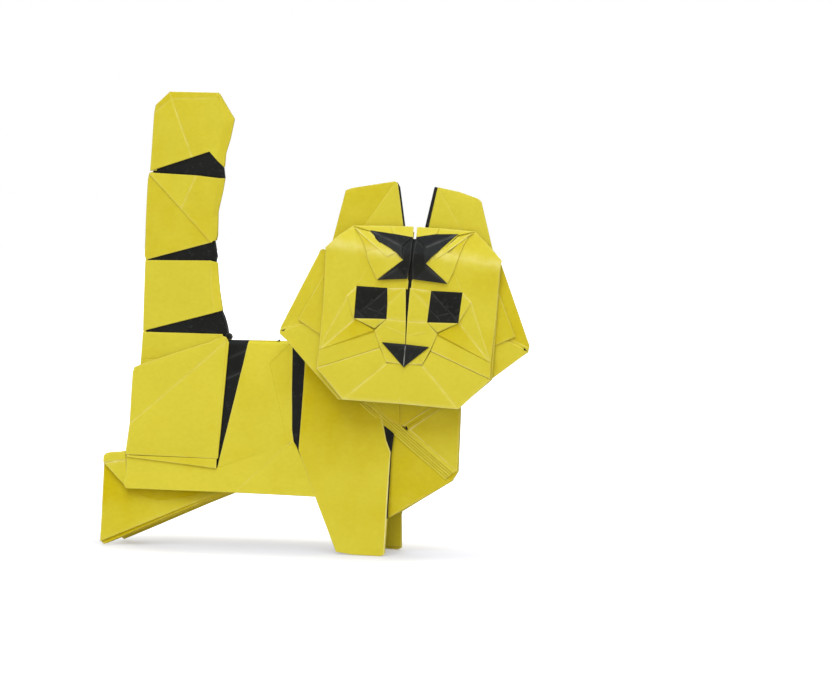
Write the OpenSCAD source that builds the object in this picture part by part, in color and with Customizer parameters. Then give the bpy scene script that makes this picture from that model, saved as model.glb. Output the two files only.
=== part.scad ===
// Origami tiger: one square sheet, yellow on one side and black on the other, folded flat and
// opened into a standing animal. The body hangs as a tent from the fold along the back, the tail
// stands up from the rump, and the head is a flat mask turned to one side.
// +X runs from the rump to the chest, -Y is the side the face looks to, +Z is up.

/* [Paper] */
// Thickness of one folded layer, several plies of paper pressed together
ply_t = 0.6; // [0.4:0.05:0.9]
// Step where one layer lies over the next
step_t = 0.35; // [0.2:0.05:0.6]
// Width of the crease at the back, over both walls
ridge_w = 1; // [0.8:0.1:2]

/* [Body] */
// Length from the rump to the chest fold
body_len = 84.4; // [76:0.2:94]
// Height of the fold along the back
back_h = 50.8; // [46:0.2:58]
// Height of the belly edge
belly_h = 13.7; // [10:0.1:18]
// Height of the chest's lower point at the chest fold
chest_low_h = 18; // [14:0.2:22]
// Height where the haunch flap is tucked under
tuck_h = 20; // [17:0.2:24]
// Width of the tucked band along the haunch
tuck_w = 2.4; // [1.5:0.1:3.5]
// Length of the haunch flap along the back
haunch_len = 26; // [22:0.2:30]
// Slope of the haunch flap's top edge, height lost towards the rump
haunch_drop = 8; // [5:0.2:12]
// Distance from the back fold to the end of the crease across the haunch
haunch_crease = 21.2; // [17:0.2:25]

/* [Legs] */
// Distance between the near and far feet
foot_spread = 12; // [9:0.2:18]
// How much further forward the far hind foot stands
far_step = 1.2; // [0:0.1:3]
// How far the hind foot stands behind the rump
hind_reach = 5.8; // [3:0.2:9]
// Length of the hind leg's lower edge along the body
hind_len = 30; // [24:0.2:36]
// Width of the foreleg at the floor
foreleg_w = 12.4; // [9:0.2:15]
// Width of the foreleg at the shoulder
shoulder_w = 23; // [19:0.2:27]
// Distance from the foreleg's front edge to the chest fold
chest_len = 16.8; // [12:0.2:22]
// Height where the foreleg's front edge turns up to the shoulder
leg_turn_h = 24.7; // [21:0.1:28]
// Height of the shoulder's front corner
shoulder_h = 31.5; // [28:0.1:36]
// Distance from the foreleg's front edge back to the shoulder's upper edge
shoulder_in = 8; // [5:0.2:11]

/* [Tail] */
// Height of the tail's tip
tail_h = 111.2; // [100:0.2:125]
// Width of the tail at its root
tail_root_w = 22.5; // [18:0.1:25]
// Width of the tail across its tip
tail_tip_w = 20; // [14:0.1:24]
// Distance from the rump to the tail's rear edge at the root
tail_x = 3.2; // [1:0.1:6]
// Lean of the tail towards the head, from root to tip
tail_lean = 4.2; // [0:0.1:8]
// Height of the lowest stripe on the tail
tail_stripe_h = 52.3; // [48:0.1:56]
// Distance from one tail stripe to the next
tail_stripe_pitch = 18.6; // [14:0.1:22]
// Width of a tail stripe at its open end
tail_stripe_w = 5.2; // [3:0.1:8]

/* [Body stripes] */
// Width of the flank stripe at the back
flank_stripe_w = 4.8; // [3:0.1:7]
// Width of the shoulder stripe at the back
shoulder_stripe_w = 3.7; // [2.5:0.1:6]
// Distance from the rump to the shoulder stripe
shoulder_stripe_x = 42.3; // [38:0.1:46]
// Height of the shoulder stripe's lower tip
shoulder_stripe_h = 24.6; // [20:0.2:30]

/* [Head] */
// Distance from the chest fold back to the middle of the mask's top edge
head_in = 9; // [3:0.2:14]
// Distance of the mask in front of the back fold
head_fwd = 8.5; // [7:0.1:12]
// Height of the mask's top edge
head_top = 78.8; // [70:0.2:88]
// Turn of the mask about the upright, degrees
head_turn = 9; // [0:0.5:20]
// Lean of the mask in its own plane, degrees
head_tilt = 4.4; // [0:0.2:10]
// Width of the mask
mask_w = 41.6; // [36:0.2:48]
// Height of the mask
mask_h = 42; // [36:0.2:48]
// Height of the mask's folded corners at the chin
jaw_h = 7.2; // [4:0.1:12]
// Height of the mask's folded corners at the brow
brow_h = 6; // [3:0.1:9]
// Width of the mask's top edge
brow_w = 28.6; // [22:0.2:34]
// Rise of the face over the mask's rim
face_rise = 1.3; // [0.8:0.1:2.5]
// Width of the mask's bent rim
rim_w = 2.6; // [1.5:0.1:4]
// Distance from the mask's top edge to the line where its top bends back
roll_h = 6.4; // [4:0.1:9]
// Slope of the mask's bent top, distance back per height
roll_slope = 0.52; // [0.2:0.02:0.8]

/* [Face] */
// Side of an eye
eye_w = 7.5; // [5:0.1:9]
// Distance between the eyes
eye_gap = 10.2; // [8:0.1:13]
// Distance from the mask's top edge to the eyes
eye_drop = 14.5; // [12:0.1:17]
// Width of the nose
nose_w = 11.3; // [8:0.1:14]
// Height of the nose
nose_h = 5.4; // [3.5:0.1:7]
// Distance from the mask's top edge to the nose
nose_drop = 27.6; // [26:0.1:30]
// Half width of the brow star's upper arms
star_w = 10.4; // [8:0.1:12]
// Height of the brow star
star_h = 10.6; // [8:0.1:11.5]
// Distance from the mask's top edge to the brow star
star_drop = 1.9; // [1:0.1:3]
// Width of the slit down the middle of the face
slit_w = 0.7; // [0.4:0.1:1.2]

/* [Ears and cheeks] */
// Height of the ears over the mask's top edge
ear_h = 10.2; // [7:0.1:14]
// Width of an ear at its base
ear_w = 15.5; // [12:0.1:18]
// Distance between the ears at their base
ear_gap = 5; // [3:0.1:8]
// Depth of the colour change along an ear's inner edge
ear_lip = 0.9; // [0.5:0.1:1.5]
// Distance of the ears behind the mask
ear_back = 3.4; // [2.8:0.1:4.2]
// How far a cheek stands out past the mask
cheek_reach = 9.2; // [6:0.1:12]
// Distance from the mask's top edge to the cheek's point
cheek_drop = 27; // [22:0.2:31]
// Distance from the mask's top edge to the corner of the folds on the back of the head
back_fold = 18; // [14:0.2:22]
// Half width of the topmost fold on the back of the head
back_flap = 12; // [8:0.2:15]

/* [Neck] */
// Length of the neck along the back, from the chest fold
neck_len = 28.8; // [22:0.2:34]
// Width of the neck where it meets the head
neck_w = 22; // [14:0.2:28]
// Distance from the mask's top edge to the neck
neck_drop = 10; // [8:0.2:14]
// Height of the neck's upper fold at the back
neck_step = 7; // [5:0.2:10]
// Width of one pleat of the neck
pleat_w = 0.7; // [0.5:0.05:1]
// Height of the first pleat where it leaves the chin
pleat_h = 36.5; // [33:0.2:40]

/* [Hidden] */

yellow = [0.85, 0.8, 0.22];
black = [0.12, 0.13, 0.13];
sides = [-1, 1];
pleats = 5;
sink = ply_t / 2;                                  // how deep a layer is bedded in the one under it
shy = 0.12;                                        // how far a layer stays short of the edge under it
head_x = body_len - head_in;                       // from the rump to the middle of the mask
leg_front = body_len - chest_len;                  // the foreleg's front edge
leg_rear = leg_front - foreleg_w;
shoulder_rear = leg_front - shoulder_w;
hind_tip = [-hind_reach + 0.8, 0];
// Middle of the whole, which the origin stands under
mid_x = (head_pt(mask_w / 2 + cheek_reach, 1 - cheek_drop, -2).x - hind_reach - 0.3) / 2;
mid_y = (foot_spread / 2 + 1.4 * step_t + head_pt(-mask_w / 2, -mask_h / 2, face_rise + 2 * step_t).y) / 2;

// A wall's distance from the middle plane at height z
function spread(z) = ridge_w / 2 + (foot_spread - ridge_w) / 2 * (1 - z / back_h);
// A lift that brings a wall's point back to the middle plane
function shut(z) = -spread(z) + 0.75 * ply_t;
// A point of the head's frame (across, up, forward) in the body's frame
function head_pt(u, v, d) =
    let (a = u * cos(head_tilt) + v * sin(head_tilt), b = v * cos(head_tilt) - u * sin(head_tilt))
    [head_x + a * cos(head_turn) + d * sin(head_turn),
     -head_fwd + a * sin(head_turn) - d * cos(head_turn), head_top + b];

// The frame of one body wall: x along the body, y up, z out from the wall
module on_wall(side)
    multmatrix([[1, 0, 0, 0],
                [0, -side * (foot_spread - ridge_w) / 2 / back_h, side, side * foot_spread / 2],
                [0, 1, 0, 0],
                [0, 0, 0, 1]]) children();

// The frame of the head: x across the mask, y up, z out of the face
module on_head()
    translate([head_x, -head_fwd, head_top]) rotate([0, 0, head_turn]) rotate([90, 0, 0])
        rotate([0, 0, -head_tilt]) children();

// The frame of one side of the tail
module on_tail(side) rotate([90, 0, 0]) mirror([0, 0, side > 0 ? 1 : 0]) children();

// A flat layer from lift `low` to lift `top`
module layer(points, top, low = -ply_t)
    translate([0, 0, low]) linear_extrude(top - low) polygon(points);

// A bent facet: convex corners [x, y, lift] with a ply under them
module facet(corners, t = ply_t)
    hull() polyhedron(points = [for (c = corners) each [c, c - [0, 0, t]]],
                      faces = [[for (i = [0 : 2 * len(corners) - 1]) i]]);

// ---- body ----

module body_core() color(black) layer([
    [0.6, belly_h + 0.4], [0.6, tuck_h], [0, tuck_h + tuck_w], [0.9, back_h - haunch_crease],
    [1.5, back_h - haunch_drop], [haunch_len - 2, back_h], [leg_front, back_h],
    [leg_front, leg_turn_h], [leg_front - 5, belly_h]], 0);

module flank() color(yellow) {
    layer([[haunch_len + flank_stripe_w, back_h], [haunch_len + flank_stripe_w - 1.2, back_h - 5.7],
           [haunch_len - 0.5, belly_h + 13], [haunch_len - 2.3, tuck_h], [haunch_len - 2.3, belly_h],
           [shoulder_rear + 4.7, belly_h], [shoulder_rear, shoulder_stripe_h],
           [shoulder_stripe_x + 0.9, shoulder_stripe_h + 2.1], [shoulder_stripe_x, back_h - 11.6],
           [shoulder_stripe_x, back_h]], step_t);
    // the rear flap of the belly, folded forwards over the thigh
    layer([[0.6, belly_h], [0.6, tuck_h], [haunch_len - 2, tuck_h], [haunch_len - 2, belly_h]], 0);
}

module shoulder() color(yellow)
    layer([[shoulder_stripe_x + shoulder_stripe_w, back_h], [shoulder_rear, shoulder_stripe_h],
           [shoulder_rear + 4.7, belly_h], [leg_rear - 0.3, 1.2], [leg_rear + 0.2, 0.4],
           [leg_rear + 4.2, 0], [leg_front - 1.2, 0], [leg_front - 0.5, 0.5],
           [leg_front - 0.3, belly_h - 4.9], [leg_front + 0.2, leg_turn_h],
           [leg_front + 0.5, leg_turn_h + 4.6], [leg_front - shoulder_in / 4, shoulder_h],
           [leg_front - shoulder_in, shoulder_h + 5.3], [leg_front - shoulder_in, back_h]], 1.4 * step_t);

module haunch() color(yellow) {
    lift = 2 * step_t;
    low = tuck_h + tuck_w;
    layer([[-shy, low + shy], [0.8, back_h - haunch_crease], [1.4, back_h - haunch_drop - 0.2],
           [haunch_len - 2, back_h + 0.7], [haunch_len, back_h - 0.4],
           [haunch_len - 2.1, tuck_h + 0.3]], lift);
    // the crease that crosses the haunch from the rump to the stripe lifts its lower half
    facet([[shy, low + 3 * shy, lift - shy], [1, back_h - haunch_crease - 0.3, lift - shy],
           [haunch_len - 3 * shy, back_h - 1, lift - shy],
           [haunch_len - 2.1 - shy, low + shy, lift + 1.6 * step_t], [3, low + 3 * shy, lift + 0.5 * step_t]]);
    // the fold along the top that holds the tail's root
    facet([[1.2, back_h - haunch_drop, lift - shy], [haunch_len - 2, back_h + 0.9, lift - shy],
           [haunch_len - 2.2, back_h - 2, lift + 0.8 * step_t],
           [1.9, back_h - haunch_drop - 2.6, lift + 0.8 * step_t]]);
    // the tucked band along the bottom
    facet([[-hind_reach + 0.7, low + 0.1, 0.6 * step_t], [-1.2, low + 0.6, 0.6 * step_t],
           [-3 * shy, low - 1.4, 1.4 * step_t], [haunch_len - 1.9, tuck_h - 0.3, 1.4 * step_t],
           [haunch_len - 1.9, low - 0.5, 1.4 * step_t], [1, low - shy, 1.4 * step_t]]);
}

module hind_leg() color(yellow) {
    for (i = [0 : 1])                              // two layers, the inner one a little longer
        layer([[-hind_reach - 0.2, tuck_h + 0.4], [-hind_reach - 0.3, 1 - 0.4 * i],
               hind_tip, [hind_len - 6, belly_h - 0.8 * (1 - i)],
               [hind_len - 6, belly_h + 3], [4, tuck_h + 2.6], [-hind_reach, tuck_h + 2]],
              -sink * i, -ply_t * (1.2 + 0.6 * i));
    facet([[-hind_reach + 0.1, tuck_h + 1.8, 0.5 * step_t], [-hind_reach + 0.7, tuck_h + 2.6, 0.5 * step_t],
           [1, tuck_h + 2.6, 0.5 * step_t], [1, tuck_h - 4, 0]]);
}

// The chest runs from behind the foreleg to the fold where both walls meet
module chest() color(yellow) {
    chest_top = pleat_h - 1.3;
    root = leg_front - shoulder_in - 2;
    facet([[root, back_h, -0.2], [root, shoulder_h + 3.3, -0.2],
           [body_len, chest_top, shut(chest_top)], [body_len - 4.4, back_h, shut(back_h)]]);
    facet([[root, shoulder_h + 4.3, -0.2], [root + 4, chest_low_h + 3, -0.5],
           [body_len - 0.6, chest_low_h + 2.2, shut(chest_low_h)],
           [body_len, chest_top + 0.2, shut(chest_top)]]);
    facet([[root + 4, chest_low_h + 4, -0.5], [leg_front - 2, belly_h - 5, -0.3],
           [leg_front + 0.3, belly_h - 4.8, -0.3], [leg_front + 3.6, belly_h - 2.8, -0.8],
           [body_len - 1.9, chest_low_h, shut(chest_low_h)],
           [body_len - 0.6, chest_low_h + 2.4, shut(chest_low_h)]]);
}

// The neck is crimped across the near side: parallel pleats from the chin to the chest fold
module neck_pleats() color(yellow) {
    start = [leg_front - 7.6, pleat_h];
    end = [body_len - 1.6, chest_low_h + 3];
    along = (end - start) / norm(end - start);
    across = [along.y, -along.x];
    for (i = [0 : pleats - 1]) {
        a = start + across * pleat_w * i + along * 0.4 * i;
        b = end + across * pleat_w * i - along * 0.5 * i;
        facet([[a.x, a.y, 4.4 * step_t - i * step_t * 0.7],
               [b.x, b.y, shut(b.y) + 3.4 * step_t - i * step_t * 0.7],
               [b.x - across.x * 1.8, b.y - across.y * 1.8, shut(b.y) + 3 * step_t - i * step_t * 0.7],
               [a.x - across.x * 2.1, a.y - across.y * 2.1, 4 * step_t - i * step_t * 0.7]],
              2.2 * ply_t + 0.03 * i);
    }
    // the flap over the pleats, up to the chin
    facet([[start.x + 0.4, start.y + 0.1, 4.6 * step_t], [end.x - 0.3, end.y + 0.4, shut(end.y) + 3.6 * step_t],
           [body_len - 0.4, chest_low_h + 5, shut(chest_low_h) + 1.5],
           [body_len, pleat_h + 4, shut(pleat_h) + 1.5], [leg_front - 6, pleat_h + 6, 4 * step_t]],
          2.6 * ply_t);
}

// ---- tail ----

function tail_at(h) = (h - back_h) / (tail_h - back_h);
function tail_rear(h) = tail_x + tail_lean * tail_at(h);
function tail_front(h) =
    let (f = tail_at(h), w = tail_root_w + (tail_tip_w - tail_root_w) * f)
    tail_rear(h) + w - 2.2 * sin(180 * min(1, max(0, f * 1.25)));

module tail_core() color(black) layer(concat(
    [[tail_rear(back_h), back_h - haunch_drop - 3], [tail_rear(tail_h - tail_tip_w + 1), tail_h - tail_tip_w + 1],
     [tail_rear(tail_h) + 4, tail_h - 4], [tail_rear(tail_h) + tail_tip_w - 4, tail_h - 8]],
    // samples down the curved front edge
    [for (f = [0.75, 0.4, 0.2, 0.066], h = back_h + (tail_h - back_h) * f)
        [tail_front(h) - (f > 0.7 ? 0.5 : 0), h]],
    [[haunch_len, back_h + 1], [haunch_len - 2, back_h - 4]]), step_t);

// Yellow bands of the tail, each from one stripe's slanted edge to the next
module tail_bands() color(yellow) {
    top_stripe = tail_stripe_h + 2 * tail_stripe_pitch + 2.1;
    for (i = [0 : 1]) {
        low = tail_stripe_h + i * tail_stripe_pitch;
        high = low + tail_stripe_pitch;
        layer([[tail_rear(low), low], [tail_rear(high), high - 0.2],
               [tail_front(high) - 0.4, high + (i == 0 ? 0 : -0.6)],
               [tail_front(high - 9), high - 9],
               [tail_front(low + tail_stripe_w), low + tail_stripe_w],
               [tail_front(low) - 3, low + tail_stripe_w - 0.6]], 2 * step_t + 0.2 * i);
    }
    // the tip, with both corners folded down
    tip_bend = tail_h - tail_tip_w * 0.675;
    layer([[tail_rear(top_stripe), top_stripe], [tail_rear(tail_h - 6) - 0.2, tail_h - 6],
           [tail_rear(tail_h), tail_h - 3.3], [tail_rear(tail_h) + 3.8, tail_h],
           [tail_rear(tail_h) + tail_tip_w - 4.2, tail_h - 0.3],
           [tail_rear(tail_h) + tail_tip_w - 3.6, tail_h - 0.8],
           [tail_rear(tail_h) + tail_tip_w + 0.4, tail_h - 6.7],
           [tail_front(tip_bend) + 0.7, tip_bend],
           [tail_front(top_stripe) - 0.4, top_stripe + 1],
           [tail_front(top_stripe) - 3.6, top_stripe + tail_stripe_w]], 3 * step_t);
    // the root, tucked into the haunch
    layer([[tail_rear(back_h - 8), back_h - 8], [tail_rear(tail_stripe_h), tail_stripe_h - shy],
           [tail_front(tail_stripe_h) - 0.6, tail_stripe_h - shy / 2], [haunch_len - 1.6, back_h],
           [haunch_len - 3, back_h - 5]], 2 * step_t);
    // a second layer crosses the upper band on the slant
    slant = top_stripe - 2.6;
    slant_low = tail_stripe_h + tail_stripe_pitch + tail_stripe_w - 1.1;
    layer([[tail_rear(slant) + 0.6, slant], [tail_rear(slant) + 1.4, slant + 1.4],
           [tail_front(slant) - 1, slant - 2], [tail_front(slant_low) - 0.8, slant_low]], 3 * step_t);
}

// ---- head ----

module mirrored() for (m = [0, 1]) mirror([m, 0, 0]) children();

half_mask = [[0, -mask_h], [mask_w / 3, -mask_h], [mask_w / 2, jaw_h - mask_h],
             [mask_w / 2, -brow_h], [brow_w / 2 + 3.4, -brow_h / 2], [brow_w / 2, 0], [0, 0]];
half_face = [[0, rim_w * 0.4 - mask_h], [mask_w / 3 - 1, rim_w * 0.4 - mask_h],
             [mask_w / 2 - rim_w * 0.4, jaw_h - mask_h], [mask_w / 2 - rim_w * 0.6, -brow_h - 2],
             [brow_w / 2 + 1.8, -brow_h * 0.6], [brow_w / 2 - 1, -0.7], [0, -0.7]];
half_eye = [[eye_gap / 2, -eye_drop], [eye_gap / 2 + eye_w, -eye_drop],
            [eye_gap / 2 + eye_w - 0.3, -eye_drop - eye_w], [eye_gap / 2 - 0.2, -eye_drop - eye_w]];
half_nose = [[0, -nose_drop], [nose_w / 2, -nose_drop], [0, -nose_drop - nose_h]];
star_waist = -star_drop - star_h * 0.54;
star_low = -star_drop - star_h;
half_star = [[slit_w / 2, -star_drop - 0.2], [star_w, -star_drop + 0.2], [star_w * 0.45, star_waist + 1.7],
             [star_w * 0.25, star_waist], [star_w * 0.8, star_low], [slit_w / 2, star_low + 0.2]];
muzzle_side = nose_w / 2 + 1.9;

// The top of what is drawn bends back above the roll line
module rolled() {
    box = 2 * mask_w;
    intersection() {
        children();
        translate([-box / 2, -box, -box / 2]) cube([box, box - roll_h, box]);
    }
    multmatrix([[1, 0, 0, 0], [0, 1, 0, 0], [0, -roll_slope, 1, -roll_slope * roll_h], [0, 0, 0, 1]])
        difference() {
            children();
            translate([-box / 2, -box, -box / 2]) cube([box, box - roll_h, box]);
        }
}

// The mask's rim bends back from the face
module mask_rim() color(yellow) mirrored() hull() {
    layer(half_mask, 0, -ply_t);
    layer(half_face, face_rise, 0);
}

module mask_dark() color(black) mirrored() {
    layer(half_eye, face_rise + 0.05, 0);
    layer(half_nose, face_rise + 0.05, 0);
    layer(half_star, face_rise + 0.05, 0);
}

// The folded face lies over the mask, open at the eyes, the nose, the brow star and the slit
module face_layer() color(yellow) mirrored() translate([0, 0, face_rise - sink])
    linear_extrude(sink + step_t) difference() {
        polygon(half_face);
        polygon(half_eye);
        polygon(half_nose);
        polygon(half_star);
        polygon([[-1, -eye_drop + 0.3], [slit_w / 2, -eye_drop + 0.3], [0.1, -nose_drop], [-1, -nose_drop]]);
        polygon([[-1, 1], [slit_w / 2, 1], [slit_w / 2, star_low], [-1, star_low]]);
    }

// Brow flaps, eye pouches, muzzle and whisker pleats, each one layer over the face
module face_folds() color(yellow) mirrored() {
    low = face_rise - sink;
    top = face_rise + 2 * step_t;
    eye_out = eye_gap / 2 + eye_w;
    eye_low = -eye_drop - eye_w;
    nose_side = nose_w / 2;
    layer([[star_w * 0.25 + shy, star_waist], [star_w * 0.8 + shy, star_low], [star_w * 1.06, star_waist - 0.7],
           [brow_w / 2 - 2.4, -star_drop - 0.9], [brow_w / 2 - 3.6, -star_drop - 0.1],
           [star_w * 0.55, star_waist + 0.4], [star_w * 0.4, star_waist + 1.4]], top, low);
    layer([[eye_out + shy, -eye_drop], [eye_out + 2.2, -eye_drop - 2.5], [eye_out - 0.3 + shy, eye_low]],
          top, low);
    layer([[eye_gap / 2 - 0.2, eye_low - shy], [eye_out - 0.3, eye_low - shy],
           [muzzle_side, -nose_drop + 2.9]], top - 0.05, low);
    layer([[muzzle_side - shy, -nose_drop + 2.7], [eye_gap / 2, eye_low - 2 * shy],
           [nose_side + shy, -nose_drop], [shy, -nose_drop - nose_h - shy],
           [1.5, -nose_drop - nose_h + 1], [nose_side * 0.78, -nose_drop - nose_h + 0.8],
           [nose_side + 0.3, -nose_drop - 1.1]], top + 0.05, low + 0.05);
    // the whisker pleat: the upper facet and the jaw lap over the valley between them
    pleat_top = face_rise + 1.6 * step_t;
    layer([[eye_out + 1, -eye_drop - 2.8], [eye_out - 1.5, eye_low + 1], [muzzle_side - 0.4, -nose_drop + 3.4],
           [muzzle_side - 0.3, -nose_drop + 2.5], [mask_w / 2 - 1.2, jaw_h - mask_h + 4.4],
           [mask_w / 2 - 2.6, jaw_h - mask_h + 10.4]], pleat_top, low + 0.03);
    layer([[nose_side + 0.2, -nose_drop - 1], [mask_w / 2 - 1.4, jaw_h - mask_h + 0.6],
           [mask_w / 3 - 1.4, rim_w * 0.4 + 0.3 - mask_h], [0, rim_w * 0.4 + 0.3 - mask_h],
           [0, -nose_drop - nose_h + 0.3], [nose_side * 0.7, -nose_drop - nose_h + 1.1]],
          pleat_top, low + 0.03);
}

module ears() color(yellow) {
    base = ear_gap / 2;
    mirrored() {
        facet([[base, -5, -ear_back], [base, -2, -ear_back], [base + 2.6, ear_h, 0.4 - ear_back],
               [base + 3.6, ear_h + 0.3, 0.4 - ear_back], [base + ear_w * 0.62, 0, -ear_back],
               [base + ear_w * 0.62, -7, 0.2 - ear_back]]);
        facet([[base + 3, ear_h + 0.3, 0.4 - ear_back], [base + ear_w * 0.85, ear_h - 2.2, -ear_back],
               [base + ear_w, -4.5, 0.2 - ear_back], [base + ear_w * 0.5, -6, -ear_back]]);
    }
}

module ear_lips() color(black) mirrored()
    facet([[ear_gap / 2 - 0.4, -1.6, -0.3 - ear_back], [ear_gap / 2 + 2.2, ear_h + 0.1, 0.1 - ear_back],
           [ear_gap / 2 + 2.2 + ear_lip, ear_h, 0.1 - ear_back],
           [ear_gap / 2 + ear_lip, -1.6, -0.3 - ear_back]]);

module cheeks() color(yellow) mirrored() {
    edge = mask_w / 2;
    tip = edge + cheek_reach;
    facet([[edge - 3, -brow_h + 0.5, -0.5], [edge + 0.8, -brow_h - 0.6, -1], [tip, 1 - cheek_drop, -2],
           [tip - 4.4, 2 - cheek_drop, -1], [edge - 3, -cheek_drop, -0.4]]);
    facet([[tip, 1 - cheek_drop, -2], [tip - 0.2, -0.6 - cheek_drop, -2], [tip - 2, -2.6 - cheek_drop, -1.4],
           [edge - 1, jaw_h - mask_h - 1.6, -0.6], [edge - 8, -mask_h - 0.2, -0.6], [edge - 9, -cheek_drop, -0.4],
           [tip - 4.4, 2 - cheek_drop, -1]]);
    facet([[edge - 1, -brow_h - 8, 0], [edge + 5, 3 - cheek_drop, -0.5], [edge - 1, 0.4 - cheek_drop, 0]]);
}

// The back of the head: the sheet's spare corners, folded to the middle in two layers
module head_back() {
    deep = 3.2;
    mid = mask_w / 2;
    color(yellow) mirrored() {
        facet([[-0.5, -2, -deep], [brow_w / 2, -3, 0.8 - deep], [mid + 1, -back_fold, 1.2 - deep],
               [-0.5, -back_fold - 4, -deep]], 2 * ply_t);
        facet([[-0.5, -back_fold - 2, -deep], [mid + 1, 1 - back_fold, 1.2 - deep],
               [mid - 1, jaw_h + 1.8 - mask_h, 1.6 - deep], [mask_w / 3, 1.5 - mask_h, 1.6 - deep],
               [-0.5, 1.5 - mask_h, 0.8 - deep]], 2 * ply_t);
        facet([[0, -5, -deep - 0.2 - step_t], [back_flap, 4 - back_fold, 0.3 - deep - step_t],
               [0, -back_fold - back_flap, -deep - 0.2 - step_t]], 2 * ply_t);
    }
    color(black) facet([[-1.4, -4, -3.1], [1.4, -4, -3.1], [0, -11, -3.1]], 1.6 * ply_t);
}

// The neck: a wedge of crimped paper from the back's fold to the back of the head
module neck() color(yellow) {
    rear = body_len - neck_len;
    // each fold: its upper and lower edge on the head, then on the back, its half width and depth
    upper = [-neck_drop, -neck_drop - mask_h / 3, 0, neck_step, neck_w / 2, -4 * ply_t];
    lower = [-neck_drop - mask_h * 0.27, mask_h * -0.86, neck_step, back_h - pleat_h + 3, neck_w / 2 + 1,
             -3.5 * ply_t];
    for (v = [upper, lower]) hull()
        polyhedron(points = [
            for (s = sides) each [[rear + v[2] / 9, s * 0.9, back_h - shy - v[2]],
                                  [rear + 0.3, s * 0.7, back_h - v[3]],
                                  [body_len - neck_len * 0.17, s * 0.9, back_h - shy - v[2]],
                                  [body_len - neck_len * 0.07, s * 0.7, back_h - v[3]]],
            head_pt(-v[4], v[0], v[5]), head_pt(v[4], v[0], v[5]), head_pt(v[4], v[1], v[5]),
            head_pt(-v[4], v[1], v[5])],
            faces = [[for (i = [0 : 11]) i]]);
}

module folded_sheet() union() translate([-mid_x, -mid_y, 0]) {
    for (side = sides) {
        on_wall(side) {
            body_core();
            flank();
            shoulder();
            haunch();
            translate([side > 0 ? far_step : 0, 0, 0]) hind_leg();
            chest();
        }
        on_tail(side) {
            tail_core();
            tail_bands();
        }
    }
    on_wall(-1) neck_pleats();
    neck();
    on_head() {
        rolled() {
            mask_rim();
            mask_dark();
            face_layer();
            face_folds();
        }
        ears();
        ear_lips();
        cheeks();
        head_back();
    }
}

folded_sheet();
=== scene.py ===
import math
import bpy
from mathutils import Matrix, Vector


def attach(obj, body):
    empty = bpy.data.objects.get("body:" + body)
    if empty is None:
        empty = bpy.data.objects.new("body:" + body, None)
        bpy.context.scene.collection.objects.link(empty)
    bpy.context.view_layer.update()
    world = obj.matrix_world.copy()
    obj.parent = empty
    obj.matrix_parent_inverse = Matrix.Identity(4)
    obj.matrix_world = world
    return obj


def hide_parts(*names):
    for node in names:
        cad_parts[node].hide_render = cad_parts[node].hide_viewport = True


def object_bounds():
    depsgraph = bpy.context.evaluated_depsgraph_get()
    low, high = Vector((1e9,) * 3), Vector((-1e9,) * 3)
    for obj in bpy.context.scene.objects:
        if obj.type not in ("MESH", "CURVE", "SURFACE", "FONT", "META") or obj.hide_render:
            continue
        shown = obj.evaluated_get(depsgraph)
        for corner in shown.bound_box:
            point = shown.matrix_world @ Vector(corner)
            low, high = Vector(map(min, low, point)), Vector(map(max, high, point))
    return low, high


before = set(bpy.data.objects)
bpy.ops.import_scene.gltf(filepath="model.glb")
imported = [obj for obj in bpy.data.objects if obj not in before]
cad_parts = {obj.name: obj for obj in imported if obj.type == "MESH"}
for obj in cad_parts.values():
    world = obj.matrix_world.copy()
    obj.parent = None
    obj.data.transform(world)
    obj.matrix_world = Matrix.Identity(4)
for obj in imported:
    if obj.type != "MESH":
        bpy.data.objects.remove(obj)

from types import SimpleNamespace

import bpy
import numpy as np
from mathutils import Vector

# Folded paper tiger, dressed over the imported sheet. Sizes of the folds are in millimetres, in three frames:
# wall (along the body from the rump, height, lift off the wall), tail (the same, lift off the middle plane)
# and head (across, up from the mask's top edge, forward).
cadLow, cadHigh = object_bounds()
scene = bpy.context.scene
mm = 0.001

body = {
    "rumpX": cadLow.x / mm + 6.1,        # the rump stands this far in front of the hind toe
    "middleY": cadHigh.y / mm - 6.49,    # middle plane, from the far foot
    "backHeight": 50.8, "ridgeHalf": 0.5, "footHalf": 6.0, "farStep": 1.2,
}
head = {"x": 75.4, "forward": 8.5, "top": 78.8, "turn": 9.0, "lean": 4.4,
        "rollStart": -7.7, "rollEnd": -5.1, "slope": 0.52,     # above rollStart the mask bends back
        "skew": 0.028, "wander": 0.35, "wanderLength": 4.2,
        # a painted highlight along the mask's bend: its strength, and the middle and width of its band as
        # shares of the ramp
        "rub": 0.6, "rubMiddle": 0.7, "rubWidth": 0.45}
yellow, black = "yellow_face", "black_face"     # slots of the two faces of the sheet
paper = {"pitch": 1.1, "wave": 0.065, "toneSwing": 0.4, "toneStep": 12.9}

print("frame read:", tuple(round(v / mm, 1) for v in (*cadLow, *cadHigh)))


# Half the gap between the walls: ridge + (foot - ridge) * (1 - height / back)
def wallGap(z):
    return body["ridgeHalf"] + (body["footHalf"] - body["ridgeHalf"]) * (1 - z / body["backHeight"])


# Wall frame: y = side * (half the gap between the walls at that height + lift)
def wallPlace(side):
    def place(x, z, lift):
        return np.stack([body["rumpX"] + x, body["middleY"] + side * (wallGap(z) + lift), z], -1)
    return place


# Tail frame: y = side * lift
def tailPlace(side):
    def place(x, z, lift):
        return np.stack([body["rumpX"] + x, body["middleY"] + side * lift, z + 0 * x], -1)
    return place


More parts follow.
